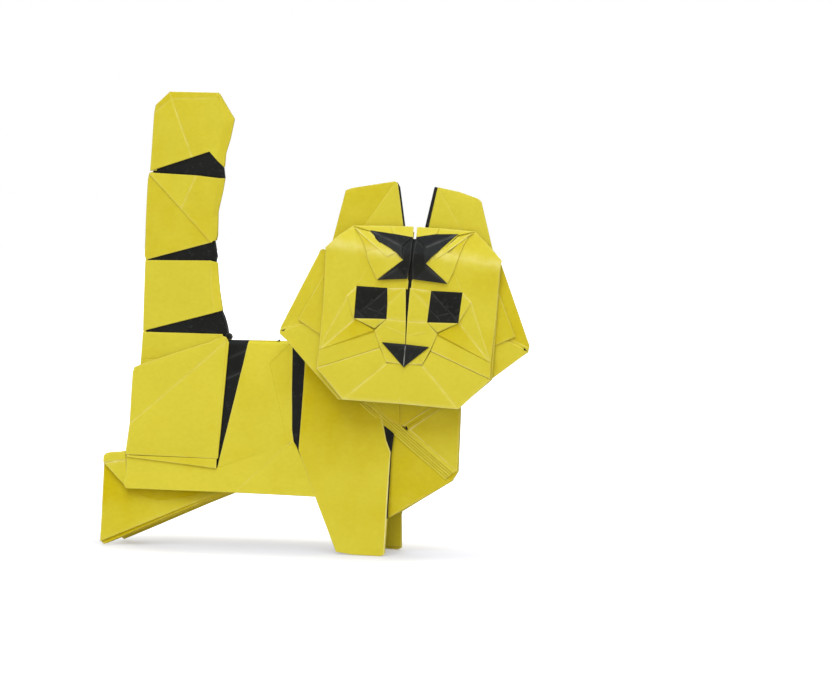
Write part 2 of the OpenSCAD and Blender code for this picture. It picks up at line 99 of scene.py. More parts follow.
# Head frame, leaned in its own plane and turned about the upright; the top of a rolled sheet bends back:
# drop = slope * over^2 / (2 * ramp) up to rollEnd and slope * (over - ramp / 2) past it
def headPlace(rolled):
    lean, turn = math.radians(head["lean"]), math.radians(head["turn"])
    ramp = head["rollEnd"] - head["rollStart"]

    def over(u, v):
        return v - head["rollStart"] + head["skew"] * u - head["wander"] * np.sin(u / head["wanderLength"])

    def place(u, v, d):
        past = np.clip(over(u, v), 0, None)
        d = d - rolled * head["slope"] * np.where(past < ramp, past ** 2 / (2 * ramp), past - ramp / 2)
        across = u * math.cos(lean) + v * math.sin(lean)
        up = v * math.cos(lean) - u * math.sin(lean)
        return np.stack([
            body["rumpX"] + head["x"] + across * math.cos(turn) + d * math.sin(turn),
            body["middleY"] - head["forward"] + across * math.sin(turn) - d * math.cos(turn),
            head["top"] + up], -1)

    # the bend gets a painted highlight, a pale band that stands in for its sheen: sheen * exp(-((over -
    # middle * ramp) / (width * ramp))^2)
    def rub(u, v):
        away = (over(u, v) - head["rubMiddle"] * ramp) / (head["rubWidth"] * ramp)
        return rolled * head["rub"] * np.exp(-away ** 2)

    place.rub = rub
    return place


# A point of the head's frame as a point of the near side of the middle plane
def headPoint(u, v, d):
    x, y, z = headPlace(0)(u, v, d)
    return float(x - body["rumpX"]), float(z), float(body["middleY"] - y)


# Edges of a panel, a letter each for its first row, its last row, its left and its right:
# (radius it rounds down by, depth of its groove, paleness of its worn line)
edgeKinds = {
    "-": (0.0, 0.0, 0.0),      # plain
    "f": (0.16, 0.0, 0.35),    # fold
    "w": (0.16, 0.0, 1.0),     # worn fold
    "s": (0.16, 0.0, 0.1),     # soft fold
    "c": (0.0, 0.05, 0.5),     # crease
    "l": (0.0, 0.03, 0.25),    # light crease
    "p": (0.1, 0.0, 2.0),      # fold worn pale
}
nearEdge = np.array([0.0, 0.03, 0.08, 0.14, 0.22, 0.34])     # distances from a side with points of their own
edgeSizes = {"groove": 0.2, "paleMark": 0.32, "fade": 0.2, "margin": 0.45, "round": 0.48, "sharp": 38}


# Distance of each point from a line of points: the least over its segments
def distanceTo(points, chain):
    start, step = chain[:-1], np.diff(chain, axis=0)
    offset = points[..., None, :] - start
    length = np.maximum((step ** 2).sum(-1), 1e-12)
    along = np.clip((offset * step).sum(-1) / length, 0, 1)
    return np.sqrt(((offset - along[..., None] * step) ** 2).sum(-1)).min(-1)


# Lengths of a line's steps, in the plane of the sheet
def stepLengths(chain):
    return np.linalg.norm(np.diff(chain[:, :2], axis=0), axis=1)


# Each point's share of the length of its line
def fractions(chain):
    run = np.r_[0, np.cumsum(stepLengths(chain))]
    return run / run[-1] if run[-1] > 0 else np.linspace(0, 1, len(chain))


# Slow waves of a handled sheet, the same for all layers of a frame: height * (two crossing sines + a sine
# times another)
def waves(a, b):
    return paper["wave"] * (np.sin(a / 2.9 + b / 4.7 + 0.6) + 0.7 * np.sin(a / 5.3 - b / 3.1 + 2.0)
                            + 0.5 * np.sin(a / 1.7 + b / 9.1) * np.sin(b / 2.2))


# One flat panel between two edges: point = left(row) + (right(row) - left(row)) * across(column), with rows
# and columns packed near the sides, where the sheet rounds over or is creased, and with a back and a rim.
# Its tone, which paints shade and light as well as the paper's own tone, goes evenly from the first row to
# the last
def panelMesh(left, right, edges, lift, thick, place, bow, toneAndShadeEnds, rubbed):
    chains = []
    for chain in (left, right):
        chain = np.array([(*p, 0.0)[:3] for p in chain], float)
        chains.append(np.repeat(chain, 2, axis=0) if len(chain) == 1 else chain)
    runs = [fractions(c) for c in chains]
    span = max(stepLengths(c).sum() for c in chains)
    margin = edgeSizes["margin"] / nearEdge[-1]
    close = nearEdge * min(1 / span, margin)
    fixed = np.unique(np.round(np.r_[runs[0], runs[1], close, 1 - close], 6))
    parts = np.maximum(1, np.ceil(np.diff(fixed) * span / paper["pitch"])).astype(int)
    rows = np.r_[np.concatenate([np.linspace(p, q, n, endpoint=False)
                                 for p, q, n in zip(fixed[:-1], fixed[1:], parts)]), 1.0]
    sides = [np.stack([np.interp(rows, run, c[:, k]) for k in range(3)], -1) for run, c in zip(runs, chains)]
    width = np.linalg.norm((sides[1] - sides[0])[:, :2], axis=1)
    near = nearEdge * np.minimum(1 / np.maximum(width, 1e-6), margin)[:, None]
    middle = np.linspace(0, 1, max(2, math.ceil(width.max() / paper["pitch"])) + 1)[1:-1]
    middle = near[:, -1:] + (1 - 2 * near[:, -1:]) * middle
    across = np.concatenate([near, middle, 1 - near[:, ::-1]], axis=1)
    grid = sides[0][:, None] + (sides[1] - sides[0])[:, None] * across[..., None]
    flat = grid[..., :2]

    borders = [*(np.stack([side[k] for side in sides]) for k in (0, -1)), *sides]
    drop, groove, wear = (np.zeros(flat.shape[:2]) for _ in range(3))
    for letter, border in zip(edges, borders):
        radius, depth, pale = edgeKinds[letter]
        if radius + depth + pale == 0 or np.ptp(border[:, :2], axis=0).max() < 1e-6:
            continue
        distance = distanceTo(flat, border[:, :2])
        if radius:
            radius = min(radius, edgeSizes["round"] * thick)
            inside = 1 - np.clip(distance / radius, 0, 1)
            drop = np.maximum(drop, radius * (1 - np.sqrt(1 - inside ** 2)))
        groove = np.maximum(groove, depth * np.clip(1 - distance / edgeSizes["groove"], 0, 1))
        wear = np.maximum(wear, pale * np.clip((edgeSizes["paleMark"] - distance) / edgeSizes["fade"], 0, 1))
    # a rolled frame paints a highlight along its bend into the same pale mask as the worn lines
    if rubbed and hasattr(place, "rub"):
        wear = np.maximum(wear, place.rub(flat[..., 0], flat[..., 1]))
    swell = bow * (4 * across * (1 - across)) * (4 * rows * (1 - rows))[:, None]
    top = lift + grid[..., 2] + waves(flat[..., 0], flat[..., 1]) + swell
    front = place(flat[..., 0], flat[..., 1], top - drop - groove)
    back = place(flat[..., 0], flat[..., 1], top - thick + drop)

    behind = across.size
    index = np.arange(behind).reshape(across.shape)
    quads = np.stack([index[:-1, :-1], index[:-1, 1:], index[1:, 1:], index[1:, :-1]], -1).reshape(-1, 4)
    loop = np.r_[index[0, :-1], index[:-1, -1], index[-1, :0:-1], index[:0:-1, 0]]
    ahead = np.roll(loop, -1)
    rim = np.stack([ahead, loop, loop + behind, ahead + behind], -1)
    faces = np.concatenate([quads, quads[:, ::-1] + behind, rim])
    points = np.concatenate([front.reshape(-1, 3), back.reshape(-1, 3)]) * mm
    wear = np.tile(wear.ravel(), 2)
    toneAndShade = np.tile(np.repeat(toneAndShadeEnds[0] + (toneAndShadeEnds[1] - toneAndShadeEnds[0]) * rows, across.shape[1]), 2)

    outward = (front - back).mean((0, 1))
    diagonals = np.cross(front[1:, 1:] - front[:-1, :-1], front[1:, :-1] - front[:-1, 1:]).sum((0, 1))
    if diagonals @ outward < 0:
        faces = faces[:, ::-1]
    _, first, joined = np.unique(np.round(points, 7), axis=0, return_index=True, return_inverse=True)
    faces = joined.ravel()[faces]
    halves = np.concatenate([faces[:, [0, 1, 2]], faces[:, [0, 2, 3]]])
    kept = (halves[:, 0] != halves[:, 1]) & (halves[:, 1] != halves[:, 2]) & (halves[:, 0] != halves[:, 2])
    return points[first], halves[kept], wear[first], toneAndShade[first]


# A new object in the scene
def addObject(name, data):
    made = bpy.data.objects.new(name, data)
    scene.collection.objects.link(made)
    return made


# A piece is one mesh of panels of one colour, each (left edge, right edge, kinds of edge, bow, tone).
# Tones paint shade and light as well as the paper's own tone; they count by their share, and panels with none
# of their own vary a little
def makePiece(name, sheet, place, slot, toneAndShadeShare=1.0):
    parts, start = [], 0
    for number, (left, right, edges, *more) in enumerate(sheet["panels"]):
        usual = [0, paper["toneSwing"] * math.sin(paper["toneStep"] * number + len(name))]
        bow, toneAndShade = more + usual[len(more):]
        points, faces, *rest = panelMesh(left, right, edges, sheet["lift"], sheet["thick"], place, bow,
                                         toneAndShadeShare * np.broadcast_to(toneAndShade, 2), slot == yellow)
        parts.append((points, faces + start, *rest))
        start += len(points)
    points, faces, wear, toneAndShade = (np.concatenate(column) for column in zip(*parts))
    mesh = bpy.data.meshes.new(name)
    mesh.from_pydata(points, [], faces)
    for label, values in (("wear", wear), ("toneAndShade", toneAndShade)):
        mesh.attributes.new(label, "FLOAT", "POINT").data.foreach_set("value", values)
    mesh.polygons.foreach_set("use_smooth", np.ones(len(mesh.polygons), bool))
    mesh.set_sharp_from_angle(angle=math.radians(edgeSizes["sharp"]))
    mesh.update()
    piece = addObject(name, mesh)
    mesh.materials.append(finishes[slot])
    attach(piece, "root")
    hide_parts("folded_sheet")


# Short creases inside a panel, as slivers that swell to their width: a pale ridge that tapers at both ends
def creasePanels(lines, width=0.3, kind="l", over=0.0):
    panels, taper = [], 0.15
    for line in lines:
        a, b = (np.array((*p, 0.0)[:3]) + (0, 0, over) for p in line)
        out = np.array([b[1] - a[1], a[0] - b[0], 0.0])
        out *= 0.5 * width / np.linalg.norm(out)
        inset = taper * (b - a)
        sides = ([a, a + inset + s * out, b - inset + s * out, b] for s in (1, -1))
        panels.append((*sides, "--" + 2 * kind, 0, 0.4))
    return panels


# The same sheet on the near and the far wall, with the far one a little ahead where its legs are, and with
# its tones, painted shade among them, taken at a share
def bothSides(name, sheet, slot, maker=wallPlace, ahead=0.0, higher=0.0, farToneAndShade=1.0):
    makePiece(f"{name}_near", sheet, maker(-1), slot)
    makePiece(f"{name}_far", sheet, shifted(maker(1), ahead, higher), slot, farToneAndShade)


# A frame moved along the body and up
def shifted(place, ahead, higher):
    return lambda a, b, lift: place(a + ahead, b + higher, lift)


# Gives the function that adds nodes to a tree, by kind without ShaderNode. Each socket, by name or number,
# takes a value or is joined to a node's first output or to (node, output). The rest are the node's settings
def nodeAdder(tree):
    def add(kind, sockets=None, **settings):
        node = tree.nodes.new(kind if kind.startswith("NodeGroup") else f"ShaderNode{kind}")
        node.location = (240 * (len(tree.nodes) % 5), -300 * (len(tree.nodes) // 5))
        for key, value in settings.items():
            setattr(node, key, value)
        for key, value in (sockets or {}).items():
            source, output = value if isinstance(value, tuple) and len(value) == 2 else (value, 0)
            if isinstance(source, bpy.types.Node):
                tree.links.new(source.outputs[output], node.inputs[key])
            else:
                node.inputs[key].default_value = value
        return node
    return add


# A group of nodes: inputs are values by name, or None for a vector, and outputs are values
def newGroup(name, inputs, outputs):
    tree = bpy.data.node_groups.new(name, "ShaderNodeTree")
    for label, value in inputs.items():
        kind = "NodeSocketVector" if value is None else "NodeSocketFloat"
        socket = tree.interface.new_socket(label, in_out="INPUT", socket_type=kind)
        if value is not None:
            socket.default_value = value
    for label in outputs:
        tree.interface.new_socket(label, in_out="OUTPUT", socket_type="NodeSocketFloat")
    add = nodeAdder(tree)
    return tree, add, add("NodeGroupInput")


# Empties the nodes of a material or a world, to add its own
def clearedNodes(owner):
    owner.use_nodes = True
    owner.node_tree.nodes.clear()
    return nodeAdder(owner.node_tree)


# Paper body: cloudy tone from slow noise, short fibres from stretched fine noise, and their height
def paperGroup():
    tree, add, given = newGroup("paperFibres", {"Place": None, "CloudScale": 140, "FibreScale": 1100},
                                ["Cloud", "Fibre", "Height"])
    place = (given, "Place")
    cloud = add("TexNoise", {"Vector": place, "Scale": (given, "CloudScale"), "Detail": 4, "Roughness": 0.55})
    grain = add("Mapping", {"Vector": place, "Scale": (0.7, 1, 1), "Rotation": (0.2, 0.5, 0.3)})
    fibre = add("TexNoise", {"Vector": grain, "Scale": (given, "FibreScale"), "Detail": 3, "Roughness": 0.6})
    fine = add("TexNoise", {"Vector": place, "Scale": 3800, "Detail": 2})
    calm = add("Math", {0: cloud, 1: 0.5, 2: 0.25}, operation="MULTIPLY_ADD")     # half as cloudy
    height = add("Math", {0: fibre, 1: 0.6, 2: fine}, operation="MULTIPLY_ADD")
    add("NodeGroupOutput", {"Cloud": calm, "Fibre": fibre, "Height": height})
    return tree


# Worn folds and painted highlight: the mesh's mask of wear and of painted sheen broken up by noise, so a line
# is paler in some places than in others
def wearAndSheenGroup():
    tree, add, given = newGroup("wornFoldsAndSheen", {"Place": None, "Wear": 0.0, "Amount": 0.6, "Scuffs": 0.0},
                                ["Mask"])
    place = (given, "Place")
    patches = add("TexNoise", {"Vector": place, "Scale": 420, "Detail": 3})
    spread = add("MapRange", {"Value": patches, "From Min": 0.3, "From Max": 0.65, "To Min": 0.25})
    times = add("Math", {0: spread, 1: (given, "Wear")}, operation="MULTIPLY")
    amount = add("Math", {0: times, 1: (given, "Amount")}, operation="MULTIPLY", use_clamp=True)
    rubbed = add("TexNoise", {"Vector": place, "Scale": 900, "Detail": 5, "Roughness": 0.7})
    rare = add("MapRange", {"Value": rubbed, "From Min": 0.56, "From Max": 0.8})
    scuffs = add("Math", {0: rare, 1: (given, "Scuffs")}, operation="MULTIPLY")
    most = add("Math", {0: amount, 1: scuffs}, operation="MAXIMUM")
    add("NodeGroupOutput", {"Mask": most})
    return tree


# Colours of the two faces of the sheet: cloud is the range that takes the tone from deep to base. Deep is the
# paper's darker mottle and also the painted shade of panels given low tones
# the pale mark colour is worn lines and, on the yellow face, a painted highlight along the mask's bend
paperFinish = {
    yellow: {"base": (0.675, 0.6, 0.05), "deep": (0.58, 0.465, 0.0), "paleMark": (0.84, 0.78, 0.31),
             "cloud": (0.06, 0.56), "roughness": 0.42, "specular": 0.07, "wear": 0.8, "scuffs": 0.0,
             "bump": 0.1},
    black: {"base": (0.0175, 0.0205, 0.0195), "deep": (0.0036, 0.0041, 0.0036), "paleMark": (0.3, 0.31, 0.3),
            "cloud": (0.38, 1.1), "roughness": 0.4, "specular": 0.09, "wear": 0.4, "scuffs": 0.14,
            "bump": 0.12},
}
surface = {"toneAndShadeShare": 0.25, "fibreTint": 0.10, "smoother": 0.05, "rougher": 0.08, "bumpHeight": 0.0001}


# tone = share * the panel's tone, which paints shade and light, + cloud; colour = deep to base by tone, under
# fibres and the pale mask of worn lines and painted highlight
def paperMaterial(name, look, fibres, folds):
    material = bpy.data.materials.new(name)
    add = clearedNodes(material)
    place = (add("TexCoord"), "Object")
    wear, shade = ((add("Attribute", attribute_name=label), "Fac") for label in ("wear", "toneAndShade"))
    fibre = add("Group", {"Place": place}, node_tree=fibres)
    paleMark = add("Group", node_tree=folds, sockets={
        "Place": place, "Wear": wear, "Amount": look["wear"], "Scuffs": look["scuffs"]})
    toneAndShade = add("Math", {0: shade, 1: surface["toneAndShadeShare"], 2: (fibre, "Cloud")}, operation="MULTIPLY_ADD")
    cloud = add("MapRange", {"Value": toneAndShade, "From Min": look["cloud"][0], "From Max": look["cloud"][1]})
    tint = add("Mix", {"Factor": cloud, "A": (*look["deep"], 1), "B": (*look["base"], 1)}, data_type="RGBA")
    fibreTint = add("Mix", data_type="RGBA", blend_type="OVERLAY", sockets={
        "Factor": surface["fibreTint"], "A": (tint, "Result"), "B": (fibre, "Fibre")})
    paleTint = add("Mix", data_type="RGBA", sockets={
        "Factor": (paleMark, "Mask"), "A": (fibreTint, "Result"), "B": (*look["paleMark"], 1)})
    gloss = add("MapRange", {"Value": (fibre, "Fibre"), "To Min": look["roughness"] - surface["smoother"],
                           "To Max": look["roughness"] + surface["rougher"]})
    bump = add("Bump", {"Height": (fibre, "Height"), "Strength": look["bump"],
                                  "Distance": surface["bumpHeight"]})
    shader = add("BsdfPrincipled", {"Base Color": (paleTint, "Result"), "Roughness": gloss,
                                              "Normal": bump, "Specular IOR Level": look["specular"]})
    add("OutputMaterial", {"Surface": shader})
    return material


fibreTree, foldTree = paperGroup(), wearAndSheenGroup()
finishes = {name: paperMaterial(name, look, fibreTree, foldTree) for name, look in paperFinish.items()}
print("finishes made:", ", ".join(finishes))


# creases and bends that two panels share
lowBend = [(22.3, 57.35), (21.4, 64), (21.4, 70.1)]
slantBend = [(23.4, 90.2), (23, 87), (22.1, 80.7), (22.2, 74.9)]
tipCrease = [(16.9, 95.2), (11.7, 109.45)]
tipFace = [(21.3, 96.6), (23.5, 109.55)]
tipBend = [(23.4, 94.35), (24.9, 103.7), (23.9, 109.7)]
tailDark = {"lift": 0.35, "thick": 0.35, "panels": [
    ([(6.9, 89), (6.5, 91.65), (7, 92.5)],
     [(24.4, 89.2, -0.25), (25.15, 90.2, -0.25), (24.9, 92.6, -0.2), (21.6, 97.4)], "---f"),
    ([(4.9, 69.3), (4.9, 71.2)], [(22.7, 69.5, -0.25), (23.15, 71.2, -0.2), (22.5, 75, -0.2), (21.6, 75.4)],
     "---f"),
    ([(4.2, 51), (4.2, 53.4)], [(26, 51), (25.9, 52.4), (25.6, 54.1), (25, 56.2), (24.2, 58.2, -0.2)],
     "---f"),
    ([(4.6, 46), (5.6, 70), (7.2, 91), (8, 105), (12, 110)],
     [(25.2, 46), (21.4, 62, -0.2), (21.2, 70, -0.2), (22.6, 90, -0.2), (24.2, 103, -0.2), (21.5, 108.6)],
     "----"),
]}
tailLow = {"lift": 0.75, "thick": 0.36, "panels": [
    # root, down into the haunch
    ([(3.15, 45.6), (3.7, 52.4)], [(8, 45.7), (21.5, 50), (24.6, 51.7), (24.4, 52.2)], "ssf-"),
    ([(3.15, 45.6), (3, 44.2)], [(8.6, 45.9), (4.4, 44.6, 0.3)], "--f-"),
    # band between the low and the middle stripe, bent back along its right edge
    ([(3.75, 52.6), (4.1, 61), (4.4, 70)], lowBend, "ssf-"),
    (lowBend, [(24.35, 57.95, -0.4), (23.7, 62.6, -0.45), (23.3, 67.1, -0.45), (23.15, 69.6, -0.4)],
     "ssls", 0, 0.1),
    # band between the middle and the top stripe, lower left part
    ([(4.7, 70.1), (4.2, 71.1), (4.5, 76), (4.8, 81.8), (5.25, 89.7), (5.6, 91.3)],
     [(21.6, 74.5), (6.2, 91.1)], "f-s-", 0, -0.3),
]}
tailHigh = {"lift": 1, "thick": 0.36, "panels": [
    # the layer that crosses the upper band on the slant
    ([(5.75, 91.45, 0.1), (6, 90.75, 0.15), (14, 82.55, 0.15)], [(18.1, 90.8, 0.1), (14, 82.55, 0.15)],
     "s-fc", 0, 0),
    ([(18.1, 90.8, 0.1), (14, 82.55, 0.15), (21.7, 74.45, 0.1)], slantBend, "sfl-", 0, -0.2),
    (slantBend,
     [(25.1, 90.1, -0.7), (24.6, 87.1, -0.8), (23.35, 82.1, -0.8), (23.1, 76.1, -0.6), (22.7, 75, -0.4)],
     "sf-s", 0, 0),
    # tip: left of the long crease, its turned corner, then right of the crease
    ([(5.9, 91.8), (6.45, 98), (7.1, 106)], tipCrease, "slsc", 0.15, 0.1),
    ([(7.1, 106), (7.5, 107.9), (11.2, 111.15)], [(11.7, 109.45), (11.3, 110.9)], "lsfc", 0, -0.5),
    (tipCrease, tipFace, "slc-", 0.2, 0),
    # its right edge bends back
    (tipFace, tipBend, "s---", 0, 0.1),
    (tipBend,
     [(24.95, 92.75, -0.6), (25.35, 96.1, -0.75), (26.5, 99.6, -0.8), (27.6, 104.5, -0.7),
      (24, 110.1, -0.35)], "s--s", 0, -0.1),
    # hem along the top
    ([(11.7, 109.45), (11.2, 111.15, -0.12)], [(23.5, 109.55), (23.2, 110.9, -0.12)], "ls--", 0, -0.4),
    ([(23.4, 109.5), (23.2, 110.9, -0.12)], [(24.05, 110, -0.35), (23.8, 110.45, -0.35)], "-s-s", 0, -0.4),
]}
# rounded folds that close the tail's left edge and its top
tailHem = {"lift": 0.62, "thick": 1.24, "panels": [
    ([(3.4, 44.6), (3.88, 52.4), (4.2, 61), (4.45, 70.1), (4.35, 71.3), (4.65, 76), (4.95, 81.8), (5.4, 89.7),
      (5.75, 91.4)],
     [(4.6, 44.6), (4.5, 52.4), (5.3, 61), (5.1, 70.1), (5.4, 71.3), (5.8, 76), (6.1, 81.8), (6.6, 89.7),
      (6.6, 91.75)], "ffs-"),
    ([(6, 91.85), (6.55, 98), (7.2, 106), (7.65, 107.85), (11.3, 111)],
     [(7.5, 91.9), (8.1, 98), (8.4, 105.6), (9, 107.2), (12.2, 110)], "ffs-"),
    ([(11.3, 111), (23.1, 110.75), (23.7, 110.3)], [(12.2, 109.9), (22.7, 109.8), (23.2, 109.2)], "ffs-"),
]}
# the fold that closes the cut corner of its tip
tailCorner = {"lift": 0.32, "thick": 0.64, "panels": [
    ([(23.3, 110.7), (24, 110.15), (27.4, 104.8)], [(22.7, 109.5), (23.3, 109), (26.2, 104.2)], "ffs-"),
]}
makePiece("tail_hem", tailHem, tailPlace(-1), yellow)
makePiece("tail_corner", tailCorner, tailPlace(-1), yellow)
bothSides("tail_dark", tailDark, black, tailPlace)
# dark corners that peep out where the tail meets the back and further along it
tailNub = {"lift": 0.5, "thick": 1, "panels": [
    ([(25.2, 50.9), (25.3, 52.4)], [(26.6, 50.95), (26.8, 51.6), (26.5, 52.3), (26, 52.5)], "ffff"),
    ([(38.2, 50.6)], [(39, 50.7), (38.8, 51.15)], "ffff"),
]}
makePiece("tail_nub", tailNub, tailPlace(-1), black)
bothSides("tail_low", tailLow, yellow, tailPlace)
bothSides("tail_high", tailHigh, yellow, tailPlace)


wallLiner = {"lift": 0.05, "thick": 0.3, "panels": [
    ([(1.3, 14.4), (1, 22), (1.9, 42.6), (24, 50.3, -0.3), (25, 50.3, -0.3)],
     [(49.2, 14), (45.2, 24), (47, 50.3, -0.3)], "fff-"),
]}
wallDark = {"lift": 0.2, "thick": 0.2, "panels": [
    ([(23.6, 19.4), (24, 26), (24.8, 41)], [(24.7, 19.4), (26.6, 26.6), (30, 43.2)], "-l--"),
    ([(24.8, 41), (25.3, 46)], [(30, 43.2), (31.4, 48.6, 0.05)], "ll--"),
    ([(25.3, 46), (25.9, 50), (25.9, 50.85, -0.6)], [(31.4, 48.6, 0.05), (31.8, 50), (31.8, 50.85, -0.6)],
     "ls--"),
    ([(43.3, 24.4), (42.2, 29.5), (41.8, 50), (41.8, 50.8, -0.6)],
     [(45.4, 24.4), (46.7, 46), (46.9, 50), (46.9, 50.8, -0.6)], "-s--"),
]}
# creases that two panels share
bellyCrease = [(23.6, 14.05, 0.56), (24.15, 19.85)]
bellyFold = [(29.2, 14, 0.5), (30, 15.3, 0.4), (36, 20.6), (42.1, 26.1)]
haunchCrease = [(1.2, 29.9), (13, 39.9, -0.15), (25.7, 50.7, -0.1)]
flank = {"lift": 0.5, "thick": 0.34, "panels": [
    # middle of the flank, from the haunch stripe to the soft fold, over the ridge
    ([(24.2, 19.9), (25.7, 26.6), (30, 45.2), (31, 50.1, -0.1), (31.1, 50.85, -0.95)],
     [(42.1, 26.1), (39.6, 35), (36.8, 45.4), (41.6, 50.1, -0.1), (41.9, 50.85, -0.95)], "-sf-", 0.25, 0.1),
    # between the soft fold and the shoulder stripe
    ([(42, 26.2), (39.4, 35, -0.12), (36.5, 45.4, -0.12), (41.5, 50.2, -0.2), (41.6, 50.85, -0.95)],
     [(43.5, 26.8, -0.1), (43, 29.5, -0.15), (42.6, 39.3, -0.15), (42.5, 50.1, -0.25), (42.5, 50.85, -0.95)],
     "--sf", 0, 0),
    # belly, left and right of its long crease
    ([(1, 14.2, 0.9), (0.1, 15.5, 0.8), (0.8, 17.4, 0.5), (0.6, 22, 0.1)], bellyCrease, "s-f-", 0, 0.3),
    (bellyCrease, bellyFold, "s---", 0, 0.3),
    (bellyFold, [(50.4, 13.6, 0.1), (44.6, 24.8)], "s-l-", 0, 0.2),
    ([(42.1, 26.1), (43.4, 26.9)], [(44.6, 24.8), (44.4, 25.3)], "--c-"),
]}
haunch = {"lift": 0.95, "thick": 0.4, "panels": [
    # over the crease that runs from the rump to the back
    ([(1.2, 29.9), (1.6, 42.6), (2, 43.8), (3.2, 44.3), (15.6, 48.5), (21.5, 50.3), (24.6, 51.8)],
     haunchCrease, "-sfl", 0.1, 0.4),
    # under it
    ([(0.35, 22.5), (24.1, 22.1)], haunchCrease, "fslc", 0.25, 0.3),
    # corner at the back
    ([(24.6, 51.8), (25.6, 51.5)], [(25.7, 50.7, -0.1), (26.3, 50.2, -0.1)], "-ffc"),
    ([(25.7, 50.7, -0.1), (24.1, 22.1)], [(26.3, 50.2, -0.15), (24.4, 22.1, -0.15)], "---s", 0, 0.1),
    # tucked band
    ([(0.5, 22.3), (24.1, 22.05)], [(1.2, 21.85, 0.15), (24.1, 19.7, 0.15)], "ff-f"),
]}
bothSides("wall_liner", wallLiner, yellow)
bothSides("wall_dark", wallDark, black)
bothSides("flank", flank, yellow)
bothSides("haunch", haunch, yellow)


heel = {"lift": 0.75, "thick": 0.35, "panels": [
    ([(-5.4, 20.3), (-5.4, 21.9), (-4.8, 22.6), (-3.5, 22.95)], [(0.5, 21), (0.4, 22), (0.3, 23.2)], "cff-"),
    ([(-5.2, 20.2), (1, 14.25)], [(0.5, 21), (0.75, 18.2), (0.75, 16.2), (1.1, 14.3)], "c-f-"),
]}
# the leg leans in under the belly: its top lies deep between the walls, its foot out with them
# the tone darkens towards the top of the leg, and the layers behind are darker still: painted shade under the
# belly
hindLeg = {"lift": -0.2, "thick": 0.36, "panels": [
    ([(-5.85, 0.9, 0.3), (-5.6, 11, 0.3), (-5.4, 20.4, 0.4)],
     [(25, 13.9, -2.4), (20, 16, -2.8), (2, 20.5, -2.6)], "f-w-", 0, (-0.2, -2.2)),
]}
hindInner = {"lift": -0.75, "thick": 0.34, "panels": [
    ([(-5.7, 0.7, 0.2), (-5.3, 20, 0.2)], [(-5, 0.2, 0.2), (10, 6.9, -1), (26.4, 13.9, -2.2), (20, 16, -2.4)],
     "w-wf", 0, -1.6),
]}
hindDeep = {"lift": -1.35, "thick": 0.34, "panels": [
    ([(-5.2, 1.2, 0.1), (-5, 20, 0.1)],
     [(-4.6, 0.3, 0.1), (4, 3.9, -0.5), (19, 10.4, -1.6), (27.6, 13.9, -2), (21, 16, -2)], "w-ff", 0, -2),
]}
bothSides("heel", heel, yellow, higher=-0.6)
for name, sheet in (("hind_leg", hindLeg), ("hind_inner", hindInner), ("hind_deep", hindDeep)):
    bothSides(name, sheet, yellow, ahead=body["farStep"], farToneAndShade=0.5)


# the foreleg's upper panel darkens towards the top: painted shadow under the head
foreleg = {"lift": 0.75, "thick": 0.4, "panels": [
    ([(49.5, 13.6), (44.9, 24.7), (45.5, 38), (46, 50, -0.2), (46, 50.8, -1.1)],
     [(67.8, 18), (68.1, 24.8), (66.9, 27.6), (66, 31.4), (61, 50, -0.2), (61, 50.8, -1.1)],
     "-sfw", 0.3, (0, -1.8)),
    ([(55.1, 0.7), (54.8, 1.4), (49.5, 13.6)], [(67.3, 0.5), (67.5, 8.8), (67.8, 18)], "--fp", 0, 0),
    ([(59.2, 0.15), (55.1, 0.7)], [(66.3, 0), (67.3, 0.5)], "f-fw", 0, 0),
] + creasePanels([((61.4, 34.2), (60.2, 31))])}
forelegInner = {"lift": 0.3, "thick": 0.4, "panels": [
    ([(50.2, 13.6), (45.8, 24.7), (46.5, 50.2, -0.5)], [(68, 18), (68.2, 25), (66.5, 30), (62, 50.2, -0.5)],
     "--ff"),
    ([(55.6, 1), (50.2, 13.6)], [(67.3, 0.8), (68, 18)], "f-ff"),
]}
# the raw edge of the sheet shows its dark face in front of the foreleg
forelegDark = {"lift": 0.42, "thick": 0.3, "panels": [
    ([(66, 9), (66.5, 25), (65.2, 32)], [(67.75, 9), (68.25, 25), (68.7, 29.2)], "---s"),
]}
for name, sheet, slot in (("foreleg", foreleg, yellow), ("foreleg_inner", forelegInner, yellow),
                          ("foreleg_dark", forelegDark, black)):
    bothSides(name, sheet, slot, ahead=0.5 * body["farStep"], farToneAndShade=0.3)


# A wall's point brought to the middle plane, but for a spare distance: lift = spare - half the gap
def shut(x, z, spare=0.45):
    return x, z, spare - wallGap(z)


chestLow = shut(82.4, 17.9)
# the chest's low tones are painted shade under the chin
chest = {"lift": 0, "thick": 0.36, "panels": [
    ([(67.5, 8.9, -1.5), (66, 31.6)], [chestLow], "f---", 0.15, -1),
    ([(66, 31.6), (61, 37, -0.2), (61, 50.6, -0.6)],
     [chestLow, shut(83.9, 20.3), shut(84.5, 35.2), shut(80, 50.6)], "---f", 0, -1.4),
]}
bothSides("chest", chest, yellow, farToneAndShade=0.3)

# the crimp of the neck: rounded fold edges that fan out from the chin to the chest fold, near side only
pleats = {"count": 5, "startLow": (60, 36.35), "startHigh": (62.2, 38.2), "endLow": (80.8, 18.3),
          "endHigh": (83.2, 20.2), "start": 62.3, "length": 21.5, "steps": (0, 0.15, 0.3, 0.45, 0.6, 0.8, 1),
          "share": 0.9, "startLift": 1.35, "endLift": 0.8, "bend": 1.35, "rise": 0.04, "thick": 0.5,
          "gap": 0.25, "margin": 0.02}


